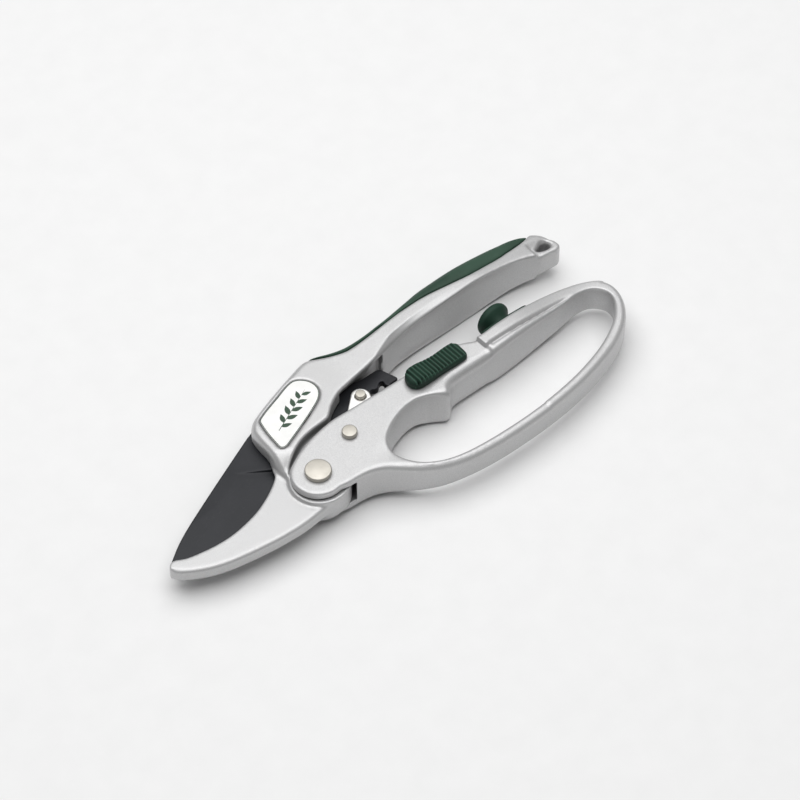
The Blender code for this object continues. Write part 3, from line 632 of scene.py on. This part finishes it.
def rib_crest_highlight(s):
    """Where the crests of the thumb pad's ribs are, on its top, for their painted highlights."""
    split = s.add("ShaderNodeSeparateXYZ")
    s.wire(s.place, split.inputs[0])
    turns = s.span(split.outputs["X"], PIVOT.x + RIB_START * MM,
                   PIVOT.x + (RIB_START + RIB_PITCH) * MM, math.pi, 3 * math.pi)
    turns.node.clamp = False
    wave = s.add("ShaderNodeMath", operation="COSINE")
    s.wire(turns, wave.inputs[0])
    low, high = RIB_FLANK
    above = s.span(split.outputs["Z"], PIVOT.z + low * MM, PIVOT.z + high * MM)
    return s.times(s.span(wave.outputs[0], 0.5, 1.0, 0, 0.95), above)


def badge_white():
    """Glossy white label with a faint warm mottle."""
    s = Shade("badge_white_look")
    mottle = s.span(s.noise(240, 3.0), 0.35, 0.70)
    colour = s.blend(mottle, (0.83, 0.83, 0.81), (0.90, 0.90, 0.885))
    s.set(Coat_Weight=0.5, Coat_Roughness=0.12)
    normal = s.bump(s.noise(900, 2.0), 0.05, 0.0001)
    return s.finish(colour, s.span(mottle, 0, 1, 0.32, 0.40), normal)


def badge_ink():
    """Matt dark green print."""
    s = Shade("badge_ink_look")
    speck = s.span(s.noise(2400, 2.0), 0.40, 0.66)
    colour = s.blend(speck, (0.015, 0.045, 0.022), (0.035, 0.085, 0.045))
    return s.finish(colour, s.span(speck, 0, 1, 0.42, 0.55), s.bump(speck, 0.05, 0.00005))


def floor_paper():
    """The pale backdrop paper."""
    s = Shade("floor_paper_look")
    fibre = s.span(s.noise(90, 4.0), 0.3, 0.7)
    colour = s.blend(fibre, (0.84, 0.84, 0.84), (0.86, 0.86, 0.86))
    s.set(Roughness=0.9, Specular_IOR_Level=0.1)
    return s.finish(colour)


CAST = silver_paint()
COATED = coated_steel()
NICKEL = plated("nickel_look", (0.43, 0.41, 0.365), (0.52, 0.495, 0.445), 0.36)
BRIGHT = plated("bright_steel_look", (0.72, 0.72, 0.70), (0.82, 0.81, 0.79), 0.38, (1, 4, 1))
SPRING = plated("spring_steel_look", (0.30, 0.30, 0.31), (0.44, 0.44, 0.45), 0.34)
BRONZE = plated("bronze_look", (0.42, 0.27, 0.12), (0.58, 0.39, 0.19), 0.40)
GREEN = green_rubber("green_grip_look", (0.022, 0.052, 0.034), (0.038, 0.082, 0.055))
PAD_GREEN = green_rubber("green_pad_look", (0.007, 0.026, 0.016), (0.014, 0.046, 0.029), True)
WHITE = badge_white()
INK = badge_ink()


# ---------------------------------------------------------------- shared outlines

LIP_LINE = smooth_loop(LIP, closed=False)
HANDLE_LOOP = smooth_loop(HEAD_FAR + GRIP_FAR + HANDLE_END + GRIP_NEAR + HEAD_STEP)
LOWER_LOOP = smooth_loop(arc((0, 0), EAR_RADIUS, 118, 282, 22) + LOWER_OUTER)
INLAY_LINE = smooth_loop(INLAY_EDGE, closed=False)
BADGE_LOOP = smooth_loop(BADGE_OUTLINE)
UPPER_LEVEL = [(36, HEAD_HALF), (60, REST_HALF), (103, REST_HALF), (116, 8.1), (129, 6.8)]


def into_hook(depth):
    """The line of the hook's lip, moved into the hook."""
    along = np.gradient(LIP_LINE, axis=0)
    along /= np.linalg.norm(along, axis=1)[:, None]
    return LIP_LINE + np.stack([along[:, 1], -along[:, 0]], 1) * depth


# ---------------------------------------------------------------- upper handle and jaw

def upper_top(x, y):
    """Half height of the upper handle."""
    # The head falls away in front of the badge's near corner.
    past_badge = ((-2.9 - x) * 4.1 + (16.2 - y) * 7.2) / 8.29
    level = table(x, UPPER_LEVEL + [(131, 6.6)], 3) - 3.4 * ease(past_badge / 9.0) * (x < 6)
    # From a ridge along the grip, the top slopes down to the channel.
    ridge = table(x, [(48, 25.6), (51, 27.2), (56, 29.2), (61, 30.9), (72, 32.1), (89, 32.7)], 2)
    slope = table(x, [(46, 0), (52, 0.75), (61, 0.95), (72, 0.5), (82, 0.22), (90, 0.06),
                      (98, 0)], 2)
    below = np.maximum(ridge - y, 0)
    level = level - slope * below * ease(below / 0.5)
    # Beside the hanging hole it steps down on the near side and slopes on the far side.
    stepped = table(x, [(129.3, 6.8), (130.1, 5.1), (139, 4.8)])
    sloped = table(x, [(127, 7.0), (131, 6.6), (136, 5.9), (140, 5.2)])
    return np.where(x > 129, stepped + (sloped - stepped) * ease((y - 29.5) / 4), level)


def upper_handle():
    """The casting with the hooked jaw: sharp edges towards the channel, soft ones on its back."""
    block = Block((-65, -13, -10.2), (143, 45, 10.2), CASTING_GRID)
    x, y, z = block.x, block.y, block.z
    middle = table(x, [(-8, 8.3), (0, 15), (17, 27), (30, 34), (60, 33), (130, 32), (142, 29)])
    far = ease((y - middle) / 2.5 + 0.5)
    near_set = table(x, [(-8, 0.7), (17, 0.7), (48, 0.8), (64, 1.3), (129, 1.0)], 3)
    far_set = table(x, [(-8, 2.1), (-4, 2.3), (2, 2.6), (24, 2.8), (31, 2.4), (124, 1.6),
                        (131, 2.8), (141, 2.0)], 1)
    # On the back, the rounding reaches down half as far again as it reaches in.
    setback = near_set + (far_set - near_set) * far
    drop = near_set + (far_set * 1.5 - near_set) * far
    level = upper_top(x, y)
    # The grip's wall towards the other handle is hollowed.
    scoop = table(x, [(54, 0), (66, 2.3), (114, 2.3), (128, 0)], 3) * (1 - far)
    flat = block.inside(HANDLE_LOOP) + scoop * np.maximum(1 - (z / level)**2, 0)
    body = block.slab(flat, level, setback, drop)
    body = without(body, inlay_side(block, 0.0), 0.9)
    hook = smooth_loop(LIP + [(0.0, 15.0, 1), (2.0, -4.0, 1)] + HOOK_OUTER + HOOK_NOSE)
    # The hook is rounded on its outer side and crisp along the lip.
    near = y < table(x, [(-64, 4), (-40, -3), (-10, 0), (2, 5)])
    hook = block.slab(block.inside(hook), HOOK_HALF, np.where(near, 1.7, 0.5),
                      np.where(near, 1.5, 0.5))
    body = union(body, hook, 1.8)
    root = smooth_loop([(-7.6, 6.0, 1), (-7.6, 17.0, 1), (17.0, 18.0, 1), (13.4, 13.6),
                        (10.2, 9.6), (7.0, 7.0, 1)])
    tongue = union(block.slab(block.disc((0.3, -0.5), TONGUE_RADIUS), TONGUE_HALF, 0.4),
                   block.slab(block.inside(root), TONGUE_HALF - 0.1, 0.3), 0.8)
    body = union(body, tongue, 1.2)
    # The other handle's front closes round the tongue, with some clearance.
    ears = common(block.inside(LOWER_LOOP) - EAR_CLEARANCE, EAR_INNER_HALF - np.abs(z), 0.4)
    body = without(body, ears, 0.6)
    for cavity in upper_cavities(block):
        body = without(body, cavity, 0.3)
    add_field("upper_handle_casting", body, block, CAST, "frame",
              ["upper_handle"], rounds=2, keep=0.7)


def inlay_side(block, gap):
    """The space on the outer side of the line where the soft inlay meets the casting."""
    edge = np.interp(block.x, INLAY_LINE[:, 0], INLAY_LINE[:, 1], left=60)
    ends = np.maximum(INLAY_START - block.x, block.x - INLAY_END)
    return np.maximum(edge + gap - block.y, ends)


def upper_cavities(block):
    """The slot for the blade, and the rooms for the pawl, the badge, the pins and the spring."""
    room = [(-3.0, 12.0), (6.0, 12.6), (14.0, 11.0), (22.0, 8.0), (62.0, 8.0), (62.0, 20.0),
            (56.0, 27.6), (50.0, 27.2), (43.0, 27.6), (30.0, 30.4), (22.0, 33.8), (13.6, 36.8),
            (10.4, 38.6), (9.0, 46.0), (-12.0, 46.0), (-12.0, 32.0), (-62.0, 16.0)]
    slot = block.inside(np.concatenate([[(-61.7, 6.2)], into_hook(GROOVE_DEPTH)[1:-4], room]))
    pawl = smooth_loop([(26.0, 12.0, 1), (28.6, 19.2), (31.4, 22.4), (36.8, 23.8), (41.4, 22.8),
                        (43.6, 18.0, 1), (43.6, 8.0, 1)])
    height = np.abs(block.z)
    # A shallow recess in the channel's wall, beside the blade's tail.
    recess = np.maximum(np.abs(block.x - 41.8) - 11.8, -block.inside(HANDLE_LOOP) - 2.2)
    recess = np.maximum(recess, block.y - 31.0)
    hole = block.inside(smooth_loop(HANG_HOLE, 0.5)) + 0.45 - 0.55 * ease((height - 3.4) / 1.6)
    return [np.maximum(slot, height - SLOT_HALF),
            np.maximum(block.inside(pawl), height - PAWL_HALF - GAP),
            np.maximum(block.inside(BADGE_LOOP) - BADGE_CLEARANCE, HEAD_HALF - 0.8 - block.z),
            hole,
            np.maximum(recess, height - RECESS_HALF),
            block.disc((0, 0), BUSH_BORE),
            block.disc(BLADE_PIVOT, BLADE_BORE),
            np.maximum(block.disc(BLADE_PIVOT, NUT_ROOM), block.z + NUT_SEAT),
            np.maximum(block.disc(BLADE_PIVOT, BOLT_HEAD_ROOM), BOLT_SEAT - block.z),
            np.maximum(block.disc(BLADE_PIVOT, WASHER_ROOM), height - WASHER_ROOM_HALF),
            np.maximum(block.disc((0, 0), SPRING_ROOM), height - SPRING_ROOM_HALF)]


def grip_inlay():
    """The soft inlay: a half round back, with a crisp edge against the casting."""
    block = Block((26, 32, -10.2), (138, 45, 10.2), BODY_GRID)
    outline = smooth_loop([(28.9, 30.0, 1), (28.9, 43.0, 1), (30.6, 43.0)] + GRIP_FAR
                          + [HANDLE_END[0], (136.4, 36.2, 1), (136.4, 30.0, 1)])
    half = table(block.x, UPPER_LEVEL + [(131, 6.2), (136, 5.2)], 3) - INLAY_STEP
    setback = table(block.x, [(28, 0.5), (35, 0.9), (45, 2.4), (60, 3.0), (66, 3.9), (71, 4.4),
                              (82, 5.6), (90, 6.0), (112, 5.8), (122, 4.6), (131, 2.4)])
    # Its back is rounded over almost the whole height.
    body = block.slab(block.inside(outline), half, setback, half * 0.94)
    body = common(body, inlay_side(block, SEAM_GAP), 0.7)
    add_field("grip_inlay_rubber", body, block, GREEN, "frame", ["grip_inlay"],
              rounds=2)


def badge():
    """The white badge, its thin printed border and a sprig of leaves."""
    block = Block((-6, 13, 7.2), (28, 41, 9.2), (0.2, 0.2, 0.1))
    flat = block.inside(BADGE_LOOP) + 0.08
    top, floor = HEAD_HALF - 0.02, HEAD_HALF - BADGE_THICK
    body = np.maximum(common(flat, block.z - top, 0.2), floor - block.z)
    add_field("badge_face", body, block, WHITE, "frame", ["badge_plate"])
    fine = Block((-6, 13, top - 0.03), (28, 41, top + 0.05), (0.12, 0.12, 0.02))
    inked = np.abs(fine.inside(BADGE_LOOP) + BORDER_INSET) - BORDER_HALF
    for leaf in leaf_sprig():
        inked = np.minimum(inked, fine.inside(leaf))
    body = np.maximum(inked, np.abs(fine.z - top) - 0.025)
    add_field("badge_print", body, fine, INK, "frame", rounds=0)


def leaf_sprig():
    """A stem with leaves that alternate along it, on the long middle line of the badge."""
    start, end = Vector((1.6, 23.2)), Vector((21.6, 32.0))
    along = (end - start).normalized()
    across = Vector((-along.y, along.x))
    length = (end - start).length
    shapes = [np.array([tuple(start + along * t * length + across * s * 0.16)
                        for t, s in ((0, -1), (0.97, -0.4), (0.97, 0.4), (0, 1))])]
    out_and_back = [(1, t) for t in np.linspace(0, 1, 13)]
    out_and_back += [(-1, t) for t in np.linspace(1, 0, 13)[1:-1]]
    for k in range(LEAF_COUNT):
        side = 1 if k % 2 else -1
        root = start + along * (2.0 + k * LEAF_PITCH)
        size = LEAF_LENGTH - 0.16 * abs(k - 3)
        way = (along * 0.80 + across * side * 0.72).normalized()
        cross = Vector((-way.y, way.x))
        leaf = [root + way * size * t
                + cross * size * LEAF_WIDTH * (edge * math.sin(math.pi * t**0.8))
                for edge, t in out_and_back]
        shapes.append(np.array([tuple(p) for p in leaf]))
    return shapes


# ---------------------------------------------------------------- blade

def blade():
    """The ground blade: one bevel from the edge almost to the spine, and a flat toothed tail."""
    block = Block((-64, -1, -1.9), (55, 37, 1.9), (BODY_GRID, BODY_GRID, 0.12))
    x, y, z = block.x, block.y, block.z
    spine = smooth_loop(BLADE_SPINE, closed=False)
    front = block.inside(np.concatenate([into_hook(EDGE_DEPTH)[1:-3], spine[::-1]]))
    tang = smooth_loop([(-6.2, 32.5, 1), (-1.0, 34.2), (4.0, 35.0), (11.0, 35.2), (20.0, 32.8),
                        (30.0, 29.6), (43.0, 26.7), (50.4, 26.3), (51.6, 25.6, 1), (53.6, 19.0, 1),
                        (53.6, 14.7, 1), (49.2, 14.7, 1), (48.6, 17.3, 1), (48.2, 19.4),
                        (48.6, 20.5), (48.0, 21.2), (46.8, 20.9), (45.4, 19.7, 1), (43.9, 19.7, 1),
                        (43.0, 20.5), (41.8, 20.0), (40.8, 18.6, 1), (39.8, 20.4), (36.8, 22.7),
                        (33.8, 20.4), (33.0, 17.2, 1), (28.0, 16.6), (20.0, 15.4), (11.0, 15.2),
                        (2.0, 13.8), (-3.0, 13.6, 1), (-6.6, 14.6, 1), (-7.6, 20.0, 1)], 0.5)
    # The bevel rises with the distance from the lip's line.
    from_lip = np.full(x.shape, 1e9)
    for px, py in LIP_LINE[::2]:
        from_lip = np.minimum(from_lip, np.hypot(x - px, y - py))
    rise = np.clip((from_lip + 1.2) / 15.0, 0, 1)
    ground = EDGE_HALF + (BLADE_HALF - EDGE_HALF) * (0.35 * rise + 0.65 * rise**0.7)
    # The bevel stops at a crease that runs up from the heel of the edge.
    crease = (x + 7.6) * 0.543 + (y - 15.3) * 0.84
    half = np.where(crease > 0, BLADE_HALF, ground)
    half = ground + (half - ground) * ease(crease / 0.9 + 0.5) * table(x, [(-30, 0), (-16, 1)])
    body = np.minimum(common(front, np.abs(z) - half, 0.3),
                      common(block.inside(tang), np.abs(z) - BLADE_HALF, 0.3))
    body = without(body, block.disc(BLADE_PIVOT, BLADE_BORE), 0.1)
    notch = np.maximum(np.abs(y - CATCH_NOTCH[1]) - CATCH_NOTCH_HALF, CATCH_NOTCH[0] - x)
    body = without(body, notch, 0.1)
    add_field("blade_ground", body, block, COATED, "blade", ["blade"])


# ---------------------------------------------------------------- lower handle

def bar_fall(x):
    """How much the bar gets lower towards the end of the loop."""
    return 3.8 * ease((x - 90) / 46)


def lower_level(x, y):
    """Half height of the lower handle: a thin strap round the fingers and a thick bar."""
    bar = table(x, [(48, EAR_HALF), (60, REST_HALF)]) - bar_fall(x)
    strap = table(x, [(20, EAR_HALF), (44, 5.8)], 4)
    return strap + (bar - strap) * ease((y + 12) / 8)


def lower_top(x, y, level):
    """Height of the top: low under the thumb pad, then a step up, and a groove along the bar."""
    low_top = np.minimum(level, EAR_HALF)
    raised = level + 0.4 * ease((120 - x) / 20)
    far_top = low_top + (raised - low_top) * ease((x - STEP_X) / 0.35)
    drop = table(x, [(85, 0.62), (112, 0.6), (127, 0)], 3)
    near_top = low_top + (level - drop - low_top) * ease((x - NEAR_STEP_X) / 1.9)
    crease = table(x, [(83, 3.8), (97, 3.65), (112, 3.5), (125.2, 3.0), (130, 1.8)])
    near_band = ease((crease - y) / 0.5 + 0.5) * ease((y + 7) / 3)
    groove = np.exp(-((y - crease) / 0.62)**2) * ease((x - 84.8) / 1.4) * ease((127 - x) / 8)
    return far_top + (near_top - far_top) * near_band - 0.75 * groove


def lower_rims(x, y, on_hole):
    """How far the edges' rounding reaches in, on the outside and round the finger hole."""
    far = y > table(x, [(-12, -20), (20, 0), (30, 6), (128, 4.2), (142, 0)])
    rim_out = np.where(far, 1.0, table(x, [(-12, 1.1), (6, 1.1), (14, 1.8), (28, 3.0), (60, 2.6),
                                           (120, 2.2), (142, 1.8)], 4))
    rim_bar = table(x, [(24, 1.5), (40, 1.2), (53, 1.0), (57.5, 2.0), (60.5, 4.2), (66, 4.4),
                        (82, 4.2), (85, 3.0), (100, 2.6), (110, 2.0), (118, 1.3), (128, 1.1)], 1)
    return np.where(on_hole, np.where(y > -6, rim_bar, 1.3), rim_out)


def lower_handle():
    """The casting with two ears round the tongue, the thick bar and the finger loop."""
    block = Block((-11.4, -33.2, -10.6), (142.6, 17.2, 10.6), CASTING_GRID)
    x, y, z = block.x, block.y, block.z
    outer = block.inside(LOWER_LOOP)
    hole = -block.inside(smooth_loop(FINGER_LOOP))
    on_hole = hole > outer
    level = lower_level(x, y)
    half = np.where(z > 0, lower_top(x, y, level),
                    np.where(x < 48, np.minimum(level, EAR_HALF), level))
    # The finger hole's wall along the bar is hollowed too.
    scoop = table(x, [(26, 1.6), (40, 1.7), (54, 1.7), (59, 0.9), (66, 1.4)])
    scoop = scoop * on_hole * ease((y + 14) / 8)
    flat = np.maximum(outer, hole) + scoop * np.maximum(1 - (z / half)**2, 0)
    body = block.slab(flat, half, lower_rims(x, y, on_hole))
    pocket = smooth_loop([(-20.0, 24.0, 1), (-20.0, -11.2, 1), (0.0, -13.6, 1)]
                         + arc((0, 0), POCKET_RADIUS, -85, -25, 6)
                         + [(16.0, -2.6), (22.0, -1.4), (28.0, 2.6), (34.0, 5.4), (42.0, 5.8, 1),
                            (68.0, 5.8, 1), (68.0, 24.0, 1)])
    body = without(body, np.maximum(block.inside(pocket), np.abs(z) - POCKET_HALF), 0.4)
    # A slot in the top, in which the catch slides.
    catch_slot = np.maximum(np.maximum(np.abs(x - 60.2) - 7.0, np.abs(y - 9.4) - 1.4), -z)
    for cavity in (catch_slot, block.disc((0, 0), MAIN_BORE), block.disc(PAWL_PIVOT, PAWL_BORE)):
        body = without(body, cavity, 0.2)
    add_field("lower_handle_casting", body, block, CAST, "lower_handle",
              ["lower_handle"], rounds=2, keep=0.7)


# ---------------------------------------------------------------- pins and pawl

def both_ends(half):
    """A profile that is the same above and below the blade's middle plane."""
    return half + [(r, -h, *rest) for r, h, *rest in reversed(half)]


def rivet(name, centre, shaft, head, node, body):
    """A rivet through both ears, with a flat head at each end."""
    seat = EAR_HALF + RIVET_CLEARANCE
    half = [(0, REST_HALF), (head, REST_HALF, 0.42), (head, seat, 0.06), (shaft, seat)]
    add_turned(name, (*centre, 0), both_ends(half), NICKEL, body, [node])


def pins():
    """The two rivets, and the pin that bears in the blade's notches."""
    rivet("main_pivot_rivet", (0, 0), MAIN_SHAFT, MAIN_HEAD, "main_pivot_pin", "frame")
    rivet("pawl_pivot_rivet", PAWL_PIVOT, PAWL_SHAFT, PAWL_HEAD, "pawl_rivet", "lower_handle")
    add_turned("cross_pin", (*PAWL_PIN, 0), both_ends([(0, 5.2), (CROSS_PIN, 5.2, 0.28)]),
               NICKEL, "pawl", ["pawl_cross_pin"])


def pawl_cheeks():
    """The two plates of the ratchet link, one on each side of the blade's tail."""
    outline = smooth_loop(arc(PAWL_PIVOT, LINK_EYE, 150, 290, 7)
                          + [(26.0, 3.6), (32.5, 9.5), (38.6, 15.4)]
                          + arc(PAWL_PIN, LINK_NOSE, -20, 140, 7)
                          + [(30.4, 18.8), (24.0, 13.6), (18.0, 11.0)], 0.6)
    for node, side in (("pawl_cheek_upper", 1), ("pawl_cheek_lower", -1)):
        low, high = sorted((side * SLOT_HALF, side * PAWL_HALF))
        block = Block((13, -1, low - 0.4), (42, 25, high + 0.4), (0.2, 0.2, 0.16))
        flat = np.maximum(block.inside(outline), -block.disc(PAWL_PIVOT, PAWL_BORE))
        flat = np.maximum(flat, -block.disc(PAWL_PIN, CROSS_PIN_BORE))
        body = common(flat, np.abs(block.z - (low + high) / 2) - (high - low) / 2, 0.4)
        add_field(f"{node}_link", body, block, BRIGHT, "pawl", [node])


# ---------------------------------------------------------------- thumb pad and bumper

def thumb_pad():
    """A saddle-backed pad with ribs across it and a smooth skirt."""
    block = Block((48.8, 3.2, 7.6), (77, 14.2, 12.8), PAD_GRID)
    x, y, z = block.x, block.y, block.z
    base = EAR_HALF + GAP
    top = base + table(x, [(49.6, 3.1), (51.5, 3.8), (54, 4.12), (57, 3.9), (60.5, 3.2), (65, 2.8),
                           (70, 2.65), (74, 2.6), (76, 2.3)])
    flat = block.inside(smooth_loop(PAD_OUTLINE, 0.5))
    body = common(flat, z - top, 1.5)
    ribs = 0.5 - 0.5 * np.cos(2 * np.pi * (x - RIB_START) / RIB_PITCH)
    fade = ease((z - base - 1.3) / 0.8) * ease((y - 4.9) / 0.6) * ease((12.9 - y) / 1.6)
    fade = fade * ease((x - 50.8) / 0.8)
    body = body + RIB_DEPTH * (1 - ribs**0.8) * fade
    body = common(body, base - z, 0.25)
    add_field("thumb_pad_ribbed", body, block, PAD_GREEN, "catch",
              ["catch_thumb_pad"], rounds=0, keep=0.7)


def bumper():
    """The mushroom buffer on its strip along the lower handle."""
    profile = [(0, 10.5), (4.2, 10.3), (6.3, 9.7, 0.5), (6.95, 8.6, 0.6), (6.8, 7.2, 0.5),
               (5.6, 6.0), (4.5, 4.8), (4.0, 3.6), (4.0, 0.3), (0, 0.3)]
    add_turned("bumper_cap", (CAP_X, CAP_BACK, 0), profile, PAD_GREEN, "lower_handle",
               ["handle_bumper"], axis="Y")
    block = Block((86, 8.6, -9.6), (110.4, 11.2, 9.6), (0.3, 0.12, 0.3))
    half = np.minimum(8.9, 8.8 - bar_fall(block.x))
    back = table(block.x, [(84, 9.0), (94, 9.2), (107, 9.2), (113, 8.9)])
    body = common(np.abs(block.x - STRIP_X) - STRIP_HALF, np.abs(block.z) - half, 1.2)
    body = common(body, np.abs(block.y - back - 0.5) - 0.55, 0.4)
    add_field("bumper_strip", body, block, PAD_GREEN, "lower_handle", rounds=0)


# ---------------------------------------------------------------- kept nodes

KEPT = {
    "blade_pivot_bolt": NICKEL, "blade_pivot_nut": NICKEL, "blade_washer_upper": BRONZE,
    "blade_washer_lower": BRONZE, "main_pivot_bush": BRONZE, "opening_spring": SPRING,
    "pawl_sleeve": SPRING, "pawl_spring": SPRING, "catch_plate": BRIGHT,
    "catch_rivet_front": NICKEL, "catch_rivet_rear": NICKEL, "catch_detent_spring": SPRING,
}


def dress_kept_nodes():
    """Gives the CAD pieces that stay their procedural materials."""
    for node, finish in KEPT.items():
        piece = frame["nodes"][node]
        for held in piece.material_slots:
            held.material = finish
        if not piece.material_slots:
            piece.data.materials.append(finish)


# ---------------------------------------------------------------- stage, light and camera

FLOOR_SIZE = 6.0
FLOOR_DROP = 0.0002
SKY_STRENGTH = 0.26
LAMP_PLACE = (0.05, 0.15, 1.15)
LAMP_SIZE = 1.5
LAMP_POWER = 17.0
CAMERA_SENSOR = 36
CAMERA_LENS = 149.7
CAMERA_NEAR = 0.01
CAMERA_FROM_PIVOT = Vector((-0.469367, -0.571899, 0.912487))
CAMERA_WAY = Vector((0.431186, 0.485656, -0.760406))


def stage():
    """Pale paper to lie on, and an even white sky."""
    bpy.ops.mesh.primitive_plane_add(size=FLOOR_SIZE, location=(0, 0, CAD_BOX[0][2] - FLOOR_DROP))
    floor = bpy.context.object
    floor.name = "floor"
    floor.data.materials.append(floor_paper())
    world = bpy.context.scene.world or bpy.data.worlds.new("studio")
    bpy.context.scene.world = world
    world.use_nodes = True
    sky = world.node_tree.nodes["Background"]
    sky.inputs["Color"].default_value = (1.0, 1.0, 1.0, 1.0)
    sky.inputs["Strength"].default_value = SKY_STRENGTH


def lamp():
    """One large soft lamp overhead, turned to the tool."""
    light = bpy.data.lights.new("overhead", "AREA")
    light.size = LAMP_SIZE
    light.energy = LAMP_POWER
    made = bpy.data.objects.new("overhead", light)
    made.location = LAMP_PLACE
    made.rotation_euler = (-Vector(LAMP_PLACE)).to_track_quat("-Z", "Y").to_euler()
    bpy.context.scene.collection.objects.link(made)


def camera():
    """Looks down on the tool at 49.5 degrees, from beyond its lower handle."""
    data = bpy.data.cameras.new("camera")
    data.sensor_width = CAMERA_SENSOR
    data.lens = CAMERA_LENS
    data.clip_start = CAMERA_NEAR
    made = bpy.data.objects.new("camera", data)
    made.location = PIVOT + CAMERA_FROM_PIVOT
    made.rotation_euler = CAMERA_WAY.normalized().to_track_quat("-Z", "Y").to_euler()
    bpy.context.scene.collection.objects.link(made)
    bpy.context.scene.camera = made


# ---------------------------------------------------------------- everything

upper_handle()
grip_inlay()
badge()
blade()
lower_handle()
pins()
pawl_cheeks()
thumb_pad()
bumper()
dress_kept_nodes()
stage()
lamp()
camera()
bpy.context.scene.view_settings.view_transform = "Standard"
